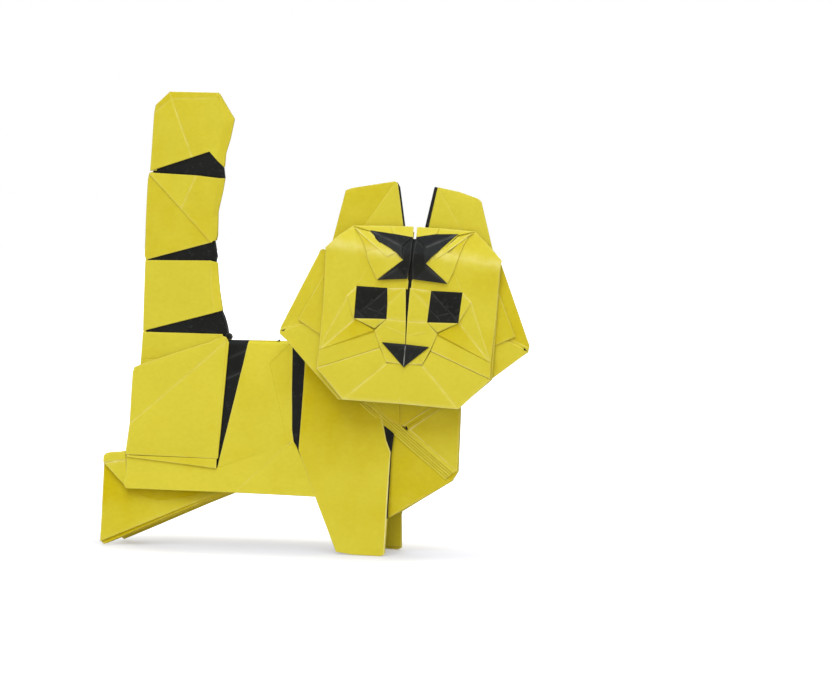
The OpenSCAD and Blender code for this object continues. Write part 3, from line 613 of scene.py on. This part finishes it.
# Lift of the crimp at a distance along the body: start + rise * t ^ bend, t from the chin to the chest fold
def crimpLift(x, over):
    start, end = pleats["startHigh"], pleats["endHigh"]
    t = min(max((x - start[0]) / (end[0] - start[0]), 0), 1)
    rise = pleats["endLift"] - wallGap(end[1]) - pleats["startLift"]
    return pleats["startLift"] + rise * t ** pleats["bend"] + over


# A point of the wall raised over the crimp by some millimetres
def onCrimp(x, z, over):
    return x, z, crimpLift(x, over)


# A line of points across the crimp, at a share of its width and raised by some millimetres
def crimpLine(p, share, over):
    a, b = (tuple(low + (high - low) * share for low, high in zip(p[f"{end}Low"], p[f"{end}High"]))
            for end in ("start", "end"))
    return [(a[0] + (b[0] - a[0]) * t, a[1] + (b[1] - a[1]) * t,
             crimpLift(p["start"] + p["length"] * t, over)) for t in p["steps"]]


# A deep strip across the crimp, with pleats over it that each lie a little higher than the last. The strip is
# painted darkest, as shade between the pleats, and the pleats go lighter and darker in turn
def makePleats(p):
    edge, under = p["margin"], -p["gap"]
    panels = [(crimpLine(p, edge, under), crimpLine(p, 1 - edge, under), "----", 0, -2)]
    for k in range(p["count"]):
        low, high, over = k / p["count"], (k + p["share"]) / p["count"], k * p["rise"]
        panels.append((crimpLine(p, low, over), crimpLine(p, high, over), "-fss", 0, 0.3 - 0.8 * (k % 2)))
    makePiece("neck_pleats", {"lift": 0, "thick": p["thick"], "panels": panels}, wallPlace(-1), yellow)


makePleats(pleats)
# the flaps and the notch under the chin take mostly low tones: painted shade under the head
chinFlap = {"lift": 0, "thick": 0.3, "panels": [
    # left of the upright fold, which lies over the facet at its right
    ([(61.4, 36.5, crimpLift(62.3, 0.1)), onCrimp(70.1, 31, 0.3)], [(61.4, 44, 1.9), (70.1, 40, 1.5)],
     "--f-", 0, -0.6),
    ([(70, 31.2, crimpLift(70.1, 0)), (70, 40, 1.2)],
     [onCrimp(70.6, 31.1, -0.1), (77.4, 35.5, -0.5), (84, 39.8, -0.8)], "--c-", 0, -0.7),
]}
notch = {"lift": 0, "thick": 0.3, "panels": [
    ([onCrimp(70.3, 31.1, 0.02), (77.1, 35.6, -0.2), (84, 40, -0.5)],
     [(71.6, 30.9, crimpLift(71.5, -0.12)), (78.6, 35.3, -0.36), (84.2, 39, -0.66)], "f-w-", 0, -0.8),
    ([onCrimp(71.5, 30.7, -0.22), (78.5, 35.2, -0.46), (84.2, 38.9, -0.74)],
     [onCrimp(72.6, 30.3, -0.24), (80.2, 35.2, -0.52), (84.4, 37.6, -0.8)], "----", 0, -0.5),
    # a last pleat between the stack and the edge of the chest flap
    ([onCrimp(71.6, 29.8, -0.12), onCrimp(77, 25.2, -0.12), onCrimp(83, 20.1, -0.12)],
     [onCrimp(72.3, 30.5, -0.14), onCrimp(78.2, 25.4, -0.14), onCrimp(83.4, 20.4, -0.14)], "--s-", 0, 0.2),
]}
chestEdge = [onCrimp(*p, -0.04) for p in ((72.1, 30.4), (75, 27.95), (78, 25.3), (81, 22.55), (83.5, 20.3))]
chestFlap = {"lift": 0, "thick": 0.32, "panels": [
    (chestEdge,
     [(79.5, 35.4, -0.35), (83, 37.6, -0.5), shut(84.9, 38, 1), shut(84.7, 35.2, 1), shut(84.2, 28, 0.95),
      onCrimp(83.8, 20.8, -0.04)], "w-wf", 0, (-0.5, 0)),
]}
# dark slot behind the notch's corner and inside the end of the crimp: the black face stands in for the shadow
# there, a painted shadow
notchShadow = {"lift": 0, "thick": 0.2, "panels": [
    ([(71.45, 30.35, crimpLift(71.4, 0)), (71.45, 31.2, crimpLift(71.4, 0))],
     [(71.9, 30.3, crimpLift(71.8, 0)), (71.7, 31, crimpLift(71.8, 0))], "----"),
    ([shut(80.6, 18.7, 0.6)], [shut(81.5, 18.3, 0.6), shut(81.4, 18.8, 0.64)], "----"),
]}
for name, sheet, slot in (("chin_flap", chinFlap, yellow), ("chest_notch", notch, yellow),
                          ("chest_flap", chestFlap, yellow), ("notch_dark", notchShadow, black)):
    makePiece(name, sheet, wallPlace(-1), slot)

print("body made")


# Named corners and lines of the face, measured across and up: on its middle line, then of each half
noseTop, noseTip, muzzleIn, chinLow = (0.17, -27.5), (0.11, -33), (0.1, -32.3), (-0.3, -41.85)
half = {
    "left": SimpleNamespace(
        sign=-1, topIn=(-0.42, 0.2), step=(-6.08, 0.05), stepLow=(-5.13, -1.76), browTop=(-14.8, -0.6),
        side=[(-20.8, -35), (-20.4, -20.5), (-20.5, -13.5), (-20.8, -6.2), (-18.3, -3.4), (-14.8, -0.6)],
        whiskHigh=(-20.6, -30.7), whiskLow=(-20.8, -35), jaw=(-14, -42), starTip=(-10.67, -1.36),
        starTopIn=(-0.3, -2.2), starFold=(-2.55, -4.41), starWaist=(-1.95, -7.6), armMid=(-4.07, -5.65),
        armLow=(-7.91, -3.92), starLow=(-7.65, -12.85), starLowIn=(-0.6, -12), starIn=(-3, -9.6),
        flapUp=[(-14.3, -1.1), (-13.1, -2.5), (-11.85, -4.34), (-10.87, -6.5)],
        flapUpIn=[(-13.6, -1.3), (-11.2, -3.3), (-8.11, -5.5)],
        flapLow=[(-10.87, -6.5), (-10.32, -8.33), (-7.85, -12.85)],
        flapLowIn=[(-8.11, -5.5), (-5.4, -5.6), (-3.6, -5.9), (-1.95, -7.6)],
        tipOut=[(-14.3, -1.15), (-11.18, -3.51), (-8.21, -5.51), (-5.5, -7.38)],
        tipFold=[(-10.6, -1.7), (-7.4, -4.19), (-5.72, -7.17)], tipIn=[(-6.2, -4.4), (-3.94, -6.14)],
        eyeOutTop=(-12.63, -14.7), eyeInTop=(-5.25, -14.57), eyeInLow=(-4.88, -21.95),
        eyeOutLow=(-12.65, -22.42), eyeCorner=[(-12.45, -19.95), (-9.9, -22.3)],
        eyeLines=[((-4.95, -18.4), (-7, -20.6)), ((-10, -19.6), (-5.4, -20.95))], pouchOut=(-14.87, -17.25),
        pouchLow=(-7.63, -24.45), slitTop=(-0.83, -14.2), slitMid=(-0.22, -22.1), slitLow=(0.06, -27.2),
        bridge=(-4.9, -18.45), nose=(-5.6, -27.5),
        noseLines=[((-2, -27.9), (-1.3, -29.4)), ((-0.6, -29.5), (-0.9, -30.6))], muzzle=(-7.59, -24.88),
        muzzleMid=(-6, -28.6), muzzleLow=(-4.24, -32.2), crease1=[(-19.25, -26.97), (-15.54, -19.1)],
        crease2=(-12.84, -23.04), whiskIn=(-5.99, -28.92), chinIn=(-4.05, -32.43), chinMid=(-8.5, -36.7),
        lines=[((-10.13, -9.51), (-12.54, -14.5)), ((-5.82, -8.36, 0.45), (-5.03, -9.68, 0.45)),
               ((-15.5, -19.15, -0.12), (-14.2, -19.3, -0.12)), ((-11.8, -35.1), (-6.6, -34.7)),
               ((-5.5, -23.5, 0.31), (0, -25.3, 0.31)), ((-0.3, -40.2, 0.03), (-0.35, -41.7, 0.03)),
               ((-17.4, -9, -0.1), (-15.9, -12.6, -0.1)), ((-20.3, -21.5, -0.2), (-17.2, -22, -0.05))],
    ),
    "right": SimpleNamespace(
        sign=1, topIn=(0.39, 0.2), step=(5.85, 0.4), stepLow=(5.25, -1.02), browTop=(14.2, 0.3),
        side=[(21, -34.5), (21.1, -20.2), (21.1, -9.6), (21.3, -5.9), (18, -2.9), (14.2, 0.3)],
        whiskHigh=(20.7, -30.3), whiskLow=(20.9, -34.3), jaw=(13.8, -41.9), starTip=(10.3, -0.6),
        starTopIn=(0.5, -2.1), starFold=(3.05, -4.3), starWaist=(3.5, -8.05), armMid=(5.22, -5.87),
        armLow=(7.85, -3.2), starLow=(9.03, -12.42), starLowIn=(0.65, -12), starIn=(3.89, -8.93),
        flapUp=[(13.6, -0.4), (12.71, -1.21), (11.89, -3.21), (11.2, -5.95)],
        flapUpIn=[(12.86, -0.6), (11.37, -2.1), (9.4, -4.4), (9.41, -5.34)],
        flapLow=[(11.2, -5.95), (10.2, -9.6), (9.03, -12.4)],
        flapLowIn=[(9.41, -5.34), (8.2, -5), (5.6, -5.6), (4.6, -6.6), (3.5, -8.05)],
        tipOut=[(14, 0), (12.86, -0.81), (11.37, -2.29), (8.19, -5.05), (5.91, -6.79)],
        tipFold=[(10.2, -1.4), (7.6, -4.2), (5.75, -6.6)], tipIn=[(7, -4), (5.4, -6.25)],
        eyeOutTop=(12.74, -14.15), eyeInTop=(5.26, -14.38), eyeInLow=(4.85, -21.94),
        eyeOutLow=(12.28, -21.51), eyeCorner=[(12.4, -19.1), (11.1, -20.35), (11.9, -21.5)],
        eyeLines=[((4.75, -18.6), (7.9, -21.1)), ((6.6, -20.4), (10.1, -19.3))], pouchOut=(15.05, -16.33),
        pouchLow=(7.4, -24.2), slitTop=(0.16, -14.1), slitMid=(0.08, -22.1), slitLow=(0.19, -27.2),
        bridge=(5.05, -18.35), nose=(5.8, -27.7),
        noseLines=[((2.1, -29.2), (1.2, -30.6)), ((2.3, -28.3), (2.6, -28.9))], muzzle=(7.5, -24.55),
        muzzleMid=(6.15, -28.4), muzzleLow=(4.5, -32.05),
        crease1=[(20.68, -30), (17.02, -21.3), (15.55, -17.67)], crease2=(13.03, -22.24),
        whiskIn=(6.25, -28.76), chinIn=(4.45, -32.25), chinMid=(8, -35.7),
        lines=[((10.25, -9.6), (12.5, -14)), ((17.2, -20.5, -0.1), (20.9, -20.2, -0.2)),
               ((7.1, -34.6), (11.4, -34.5)), ((4.9, -24.2, 0.31), (0.3, -25.6, 0.31)),
               ((3.8, -29.9, 0.6), (4.4, -31.9, 0.3)), ((16.2, -11.8, -0.1), (17.4, -9, -0.1))],
    ),
}


# A named corner raised by some millimetres
def up(point, lift):
    return (*point[:2], lift)


# One half of the face, layer by layer, between chains of its named corners
def faceHalf(label, p):
    place = headPlace(1)
    s = p.sign
    lap = -s     # 1 where the jaw lies over the whisker pleat, -1 where it lies under
    brow = [p.eyeOutTop, (12.3 * s, -9), (13.6 * s, -4), p.browTop]
    upper = [p.whiskHigh, *p.crease1, p.pouchOut]
    middle = [p.whiskHigh, up(p.crease2, -0.42), up(p.eyeOutLow, -0.3)]
    chin = [p.jaw, p.chinMid, p.chinIn]
    base = {"lift": 1.3, "thick": 0.4, "panels": [
        # temple, from the whiskers up to the shoulder of the mask
        ([p.whiskHigh] + [up(q, -0.25) for q in p.side[1:4]] + p.side[4:], upper + brow, "--f-", 0.2),
        # forehead
        (brow,
         [(s * 0.37, -14.5), (s * 0.37, -12.6), (s * 0.55, -12.1), (s * 0.55, -4),
          (p.topIn[0] + s * 0.3, 0.3)], "-f-f", 0, -0.2),
        # the two facets between the eye pouch and the whiskers
        (upper, middle, "--cc", 0, 0.3),
        # the lower facet darkens from the whiskers towards the eye pouch and the muzzle: painted shade under
        # the pouch
        (middle, [p.whiskHigh, up(p.muzzle, 0.15)], "--cs", 0, (0.1, -1.3)),
        # the upper facet rounds down into the valley of the whisker pleat, painted darker there as shade
        ([p.whiskHigh, up(p.muzzle, 0.12)],
         [(p.whiskHigh[0], p.whiskHigh[1] - 0.12, -0.05), (p.muzzle[0], p.muzzle[1] - 0.5, -0.35)],
         "----", 0, -0.9),
        ([p.whiskHigh, up(p.muzzle, -0.32)],
         [(p.whiskLow[0], p.whiskLow[1] + 0.1, -0.05 - 0.05 * lap),
          (p.whiskIn[0], p.whiskIn[1] + 0.1, -0.1 - 0.25 * lap)],
         "f--" + ("-" if lap > 0 else "w"), 0, 0.1),
        # jaw and chin
        ([up(p.whiskLow, 0.06 * lap), up(p.whiskIn, 0.1 * lap - 0.05)], chin,
         "w-" + ("w" if lap > 0 else "-") + "c", 0.15, 0.3),
        (chin, [chinLow, (-0.15, -32)], "w-c-", 0.15, 0.5),
    ] + creasePanels(p.lines, over=0.02)}
    raised = {"lift": 1.6, "thick": 0.36, "panels": [
        # eye pouches
        ([p.eyeOutTop, p.eyeOutLow], [up(p.pouchOut, -0.15)], "wf--", 0, 0.6),
        ([p.eyeOutLow, p.eyeInLow], [up(p.pouchLow, -0.2)], "ffc-", 0, 0.6),
        # bridge, above and below its diagonal
        ([p.eyeInTop, p.bridge], [p.slitTop], "wlf-", 0, -0.3),
        ([p.bridge, p.eyeInLow], [p.slitTop, p.slitMid], "lcff", 0, 0.2),
        # muzzle
        ([p.eyeInLow, up(p.muzzle, -0.2), up(p.muzzleMid, -0.1), p.muzzleLow],
         [p.slitMid, p.slitLow, muzzleIn], "cwff", 0, 0.6),
    ]}
    flap = {"lift": 1.73, "thick": 0.3, "panels": [
        (p.flapLow, p.flapLowIn, "cff-", 0, 0.3),
        (p.flapUp, p.flapUpIn, "-cf-", 0, -0.8),
    ]}
    flapTop = {"lift": 1.95, "thick": 0.3, "panels": [
        (p.tipOut, p.tipFold, "--wc", 0, 0.4),
        ([up(p.tipFold[1], 0.02), up(p.tipFold[2], 0.02)], p.tipIn, "-wc-"),
        ([(s * 10.4, p.starTip[1] - 0.1), p.tipFold[1]], [(s * 8, -2.6), p.tipIn[0]], "----"),
    ]}
    hem = {"lift": 1.75, "thick": 0.35, "panels": [
        ([up(p.browTop, -0.1), (s * 10.6, p.starTip[1] - 0.2)], [p.step, p.stepLow], "f---"),
        ([up(p.step, 0.25), up(p.stepLow, 0.25)], [up(p.topIn, 0.25), up(p.starTopIn, 0.25)], "ffff"),
    ]}
    dark = {"lift": 2, "thick": 0.35, "panels": [
        # upper arm of the star: the facet along its top, painted darker as shade, then the one that stands
        # up, painted lighter as lit
        ([p.starTip, p.starFold], [p.stepLow, p.starTopIn], "s-cs", 0, -1.2),
        ([up(p.starTip, 0.12), up(p.starFold, 0.1)],
         [up(p.starTip, 0.12), up(p.armLow, 0.2), up(p.armMid, 0.4), up(p.starWaist, 0.25)], "-scs", 0, 1.2),
        # column, with its corner cut at the top, painted darker as shade
        ([up(p.starTopIn, -0.3), (s * 0.2, -7.5, -0.3), up(p.starLowIn, 0.15)],
         [up(p.starFold, -0.25), up(p.starWaist, -0.25), up(p.starIn, -0.25)], "l-ll", 0, -0.9),
        # lower arm: a triangle painted lighter as lit and the band over it painted darker as shade
        ([up(p.starLowIn, 0.15), up(p.starIn, -0.1)], [up(p.starLow, 0.1)], "sl--", 0, 0.9),
        ([up(p.starWaist, -0.25), up(p.starIn, -0.12)], [up(p.starLow, 0.1)], "sl--", 0, -1),
        # the slit down the middle shows the dark side of the sheet
        ([(s * 1.6, -33, -1.25), (s * 1.6, -2.6, -1.25)], [(0, -33, -1.25), (0, -2.6, -1.25)], "----", 0, -1),
    ]}
    if s < 0:     # the dark under the left arm shows beside its tip
        dark["panels"].append(([(-9.6, -2.3, -0.03), (-9, -3.3, -0.03)],
                               [(-7.9, -3.3, -0.03), (-7.85, -4.15, -0.03)], "----", 0, -1))
    inner = 0.5 * (np.array(p.eyeOutLow) + np.array(p.eyeInTop))
    eye = {"lift": 1.48, "thick": 0.3, "panels": [
        ([p.eyeOutTop, p.eyeOutLow], [p.eyeInTop, (*inner, 0)], "sls-", 0, -0.4),
        ([p.eyeOutLow, p.eyeInLow], [(*inner, 0), up(p.eyeInTop, 0.05)], "--sl", 0, 0.5),
        ([up(q, 0.1) for q in p.eyeCorner], [up(p.eyeOutLow, 0.1)], "ssl-", 0, 1),
    ] + creasePanels(p.eyeLines, 0.24, over=0.06)}
    nose = {"lift": 1.9, "thick": 0.3, "panels": [
        ([p.nose, noseTip], [up(noseTop, 0.15), up(noseTip, 0.1)], "l-s-", 0, 0.9),
    ] + creasePanels(p.noseLines, 0.22, "w", 0.08)}
    if s > 0:
        nose["panels"] += creasePanels([(up(noseTop, 0.2), up(noseTip, 0.15))], 0.3, "p")
    for name, sheet, slot in (("face", base, yellow), ("muzzle", raised, yellow), ("brow_flap", flap, yellow),
                              ("brow_tip", flapTop, yellow), ("brow_hem", hem, yellow),
                              ("brow_star", dark, black), ("eye", eye, black), ("nose", nose, black)):
        makePiece(f"{name}_{label}", sheet, place, slot)


for label, corners in half.items():
    faceHalf(label, corners)

# the ear facets take lighter and darker tones: painted light and shade on facets that face different ways
ears = {"lift": -3.5, "thick": 0.4, "panels": [
    ([(-19.9, -4.7), (-17.6, 7.5), (-16.1, 8.2), (-5.9, 10.6, 0.5)], [(-14.2, -3.2), (-5.8, 10.45, 0.5)],
     "--s-", 0.2, -0.4),
    ([(-14.2, -3.2), (-5.8, 10.5, 0.5)], [(-3, -2.5, 0.2), (-3.1, 0, 0.2), (-5.2, 10.25, 0.5)],
     "--lf", 0.1, 0.9),
    ([(18.6, -3.9), (15, 7.4), (14, 8.1), (9.5, 9.3), (4.5, 10, 0.5)], [(13.4, -3.2), (4.5, 9.9, 0.5)],
     "--s-", 0.2, 1.2),
    ([(13.4, -3.2), (4.5, 9.95, 0.5)], [(2.6, -2.5, 0.2), (2.8, 0.4, 0.2), (4.2, 9.9, 0.5)],
     "--lf", 0.1, 0.5),
    # roots, down the back of the head
    ([(-16, -15, 1.1), (-19.9, -4.7)], [(-1.5, -15, 1.1), (-14.2, -3.2), (-3, -2.5, 0.2)], "f-f-"),
    ([(16, -15, 1.1), (18.6, -3.9)], [(1.5, -15, 1.1), (13.4, -3.2), (2.6, -2.5, 0.2)], "f-f-"),
]}
earLips = {"lift": -3.65, "thick": 0.5, "panels": [
    ([(-3.6, -2), (-5.9, 10.25, 0.45)], [(-2.5, -2), (-2.7, 0), (-4.6, 9.3, 0.4), (-5.3, 10.4, 0.45)],
     "-s-s", 0, 0.4),
    ([(2, -2, 0.6), (2.1, 0.4, 0.6), (3.6, 9.8, 0.9), (3.8, 10.05, 0.9)],
     [(2.8, -2, 0.6), (2.95, 0.4, 0.6), (4.3, 9.6, 0.9), (4.4, 9.95, 0.9)], "-sss"),
]}
# the right cheek takes a lower tone than the left: painted shade beside the mask
cheeks = {"lift": -1.2, "thick": 0.4, "panels": [
    ([(-21.6, -6.7, 0.3), (-22.3, -7.1), (-30.4, -26), (-30.6, -27)], [(-18, -8, 0.4), (-18, -27, 0.3)],
     "--f-", 0.2, -0.2),
    ([(20.6, -6.2, 0.3), (20.9, -6.4), (29.3, -25.6), (29.3, -26.2)], [(18, -8, 0.4), (18, -27, 0.3)],
     "--f-", 0.2, -1.1),
]}
cheekLow = {"lift": -0.75, "thick": 0.4, "panels": [
    ([(-30.5, -27.2, -0.2), (-25.7, -25), (-24.2, -24.9), (-18, -26)],
     [(-30.6, -27.8, -0.2), (-28.7, -29.2), (-23.9, -34), (-15.3, -42.3), (-12, -42)], "f-ff"),
    ([(28.8, -26.8, -0.2), (24.2, -24.8), (18, -26)], [(28.9, -27.3, -0.2), (20.8, -34.4), (17, -37)],
     "f-ff"),
]}
cheekRoll = {"lift": -1, "thick": 0.9, "panels": [
    ([(-30.5, -26.6), (-30.7, -27.5), (-29.6, -28.3)], [(-26, -24.7), (-24.5, -26.5)], "fff-"),
    ([(29.2, -26), (29.1, -27.2), (27.9, -28.2)], [(25, -24.4), (23.5, -26)], "fff-"),
]}
# black bits stand in for the shadow inside the rolled tips of the cheeks: painted shadow
cheekHoleShadow = {"lift": -0.72, "thick": 0.5, "panels": [
    ([(-30.2, -27)], [(-29.3, -26.55), (-29.5, -27)], "ssss"),
    ([(28.9, -26.9)], [(28, -26.1), (28, -26.7)], "ssss"),
]}
# the right flap's lower tone is painted shade beside the mask as well
cheekFlap = {"lift": -0.3, "thick": 0.35, "panels": [
    ([(-21, -12.8), (-26.3, -24)], [(-19, -14), (-19, -28.2)], "-ff-", 0, -0.3),
    ([(21, -13.4), (25.9, -23.7)], [(19, -14), (19, -27.4)], "-ff-", 0, -0.9),
]}
maskBack = {"lift": 0.55, "thick": 0.7, "panels": [
    ([(-14.1, -41.7), (-20.5, -35), (-20.2, -20), (-20.2, -6.6), (-14.8, -1.2)], [(-0.3, -41.5), (-0.3, -1)],
     "fff-"),
    ([(13.9, -41.6), (21.2, -34.3), (21.2, -20), (21.2, -6.4), (14.6, -0.6)], [(-0.3, -41.5), (0.8, -1)],
     "fff-"),
]}
# the back of the head: spare corners folded to the middle, two layers to a side
headBack = {"lift": -1.75, "thick": 0.4, "panels": [
    ([(-0.35, -40.8), (-0.35, -22, -0.2), (-0.35, -5)],
     [(-13.6, -41), (-20, -34.4), (-20.3, -18), (-16.5, -5)], "f-ff", -0.2),
    ([(0.35, -40.8), (0.35, -22, -0.2), (0.35, -5)], [(13.4, -41), (20, -34), (20.4, -18), (16.5, -5)],
     "f-ff", -0.2),
    ([(-0.5, -31, -0.5), (-0.5, -8, -0.5)], [(-13.5, -16.5, -0.35)], "f-f-"),
    ([(0.5, -31, -0.5), (0.5, -8, -0.5)], [(13.5, -16.5, -0.35)], "f-f-"),
]}
napeFold = [(0, -29, 0.2), (0, -10.5)]
nape = {"lift": -2.75, "thick": 0.35, "panels": [
    ([(-7.5, -27, 0.2), (-9.5, -12.5)], napeFold, "fffc"),
    (napeFold, [(7.5, -27, 0.2), (9.5, -12.5)], "ffcf"),
]}
# the neck: a wedge of the sheet from the fold along the back to the back of the head
neckTop = [(70, 51.3, 0.2), headPoint(0, -11.5, -3.1)]
neckLeft = [(60, 41, 2.6), headPoint(-10, -33, -2)]
neckRight = [(81.5, 41, 1.6), headPoint(10, -33, -2)]
neck = {"lift": 0, "thick": 0.4, "panels": [
    ([(57.5, 50.9), headPoint(-10.5, -13, -2.3)], neckTop, "--fc"),
    (neckTop, [(82, 50.9), headPoint(10.5, -13, -2.3)], "--cf"),
    ([(57.5, 50.8, 0.2), headPoint(-10.5, -13, -2.2)], neckLeft, "--ff"),
    ([(82, 50.8, 0.2), headPoint(10.5, -13, -2.2)], neckRight, "--ff"),
    (neckLeft, neckRight, "--ff"),
]}
flatHead = headPlace(0)
for name, sheet, place, slot in (
        ("ears", ears, flatHead, yellow), ("ear_lips", earLips, flatHead, black),
        ("cheeks", cheeks, flatHead, yellow), ("cheek_roll", cheekRoll, flatHead, yellow),
        ("cheek_hole", cheekHoleShadow, flatHead, black), ("cheek_low", cheekLow, flatHead, yellow),
        ("cheek_flap", cheekFlap, flatHead, yellow), ("mask_back", maskBack, headPlace(1), yellow),
        ("head_back", headBack, flatHead, yellow), ("nape", nape, flatHead, yellow),
        ("neck", neck, tailPlace(-1), yellow)):
    makePiece(name, sheet, place, slot)
print("head made")


warm, cool = (1.0, 0.84, 0.6), (0.93, 1.0, 1.1)
studio = {"floor": 1.6, "floorBounce": 0.6, "floorColour": (0.5, 0.5, 0.53), "floorGlow": 0.36,
          "glowStart": 0.02, "glowEnd": 0.135, "glowShape": (1.0, 3.8, 1.0), "glowMiddle": (0.008, -0.014, 0),
          "world": 0.29, "target": (0.0, 0.0, 0.055), "lamps": {     # place, size, power, colour
              "key": ((0.3, -1.3, 1.9), 2.3, 33.5, cool),
              "spark": ((-0.2, -1.5, 1.65), 0.8, 4.0, cool),
              "front": ((0.5, -2.3, 0.45), 1.4, 15.0, warm),
              "top": ((0.1, 0.3, 2.3), 1.2, 10.0, cool),
              "back": ((-0.8, 1.9, 1.1), 1.6, 24.0, cool)}}


# The backdrop looks white to the camera and to gloss, and lights the object with the plain shader
def whiteToCamera(add, plain, glow, outKind):
    path = add("LightPath")
    seen = add("Math", {0: (path, "Is Camera Ray"), 1: (path, "Is Glossy Ray")}, operation="MAXIMUM")
    either = add("Math", {0: seen, 1: (path, "Is Transmission Ray")}, operation="MAXIMUM")
    mix = add("MixShader", {"Fac": either, 1: plain, 2: glow})
    add(outKind, {"Surface": mix})


# A square that is white by itself away from the object, to hide the horizon
def makeFloor():
    size = studio["floor"]
    mesh = bpy.data.meshes.new("floor")
    corners = [(size * x, size * y, 0) for x, y in ((-1, -1), (1, -1), (1, 1), (-1, 1))]
    mesh.from_pydata(corners, [], [(0, 1, 2, 3)])
    material = bpy.data.materials.new("floor")
    mesh.materials.append(material)
    add = clearedNodes(material)
    middle = add("TexCoord")
    oval = add("VectorMath", operation="MULTIPLY_ADD", sockets={
        0: (middle, "Object"), 1: studio["glowShape"], 2: studio["glowMiddle"]})
    reach = add("VectorMath", {0: oval}, operation="LENGTH")
    ring = add("MapRange", interpolation_type="SMOOTHSTEP", sockets={
        "Value": (reach, "Value"), "From Min": studio["glowStart"], "From Max": studio["glowEnd"],
        "To Min": studio["floorGlow"]})
    shade = add("BsdfDiffuse", {"Color": (*studio["floorColour"], 1)})
    glow = add("Emission", {"Color": (1, 1, 1, 1), "Strength": ring})
    lit = add("AddShader", {0: shade, 1: glow})
    plain = add("BsdfDiffuse", {"Color": (*3 * (studio["floorBounce"],), 1)})
    whiteToCamera(add, plain, lit, "OutputMaterial")
    addObject("floor", mesh)


# A world that lights the sheet evenly and is white by itself
def makeWorld():
    world = bpy.data.worlds.new("studio")
    scene.world = world
    add = clearedNodes(world)
    plain, glow = (add("Background", {"Color": (*colour, 1), "Strength": strength})
                   for colour, strength in ((warm, studio["world"]), ((1, 1, 1), 1.0)))
    whiteToCamera(add, plain, glow, "OutputWorld")


# Round lamps that face the middle of the sheet
def makeLamps():
    for name, (place, size, power, colour) in studio["lamps"].items():
        lamp = bpy.data.lights.new(name, "AREA")
        lamp.shape, lamp.size, lamp.energy, lamp.color = "DISK", size, power, colour
        holder = addObject(name, lamp)
        holder.location = place
        holder.rotation_euler = (Vector(studio["target"]) - Vector(place)).to_track_quat("-Z", "Y").to_euler()


view = {"azimuth": 16.0, "elevation": 4.0, "distance": 0.8, "lens": 143.7, "sensor": 36.0, "near": 0.01,
              "aim": (0.0252, 0.0044, 0.0515)}     # the point in the middle of the picture


def makeCamera():
    turn, rise = math.radians(view["azimuth"]), math.radians(view["elevation"])
    away = Vector((math.sin(turn) * math.cos(rise), -math.cos(turn) * math.cos(rise), math.sin(rise)))
    camera = addObject("camera", bpy.data.cameras.new("camera"))
    camera.data.lens = view["lens"]
    camera.data.sensor_width = view["sensor"]
    camera.data.clip_start = view["near"]
    camera.location = Vector(view["aim"]) + away * view["distance"]
    camera.rotation_euler = (-away).to_track_quat("-Z", "Y").to_euler()
    scene.camera = camera


makeFloor()
makeWorld()
makeLamps()
makeCamera()
scene.view_settings.view_transform = "Standard"
print("studio made")
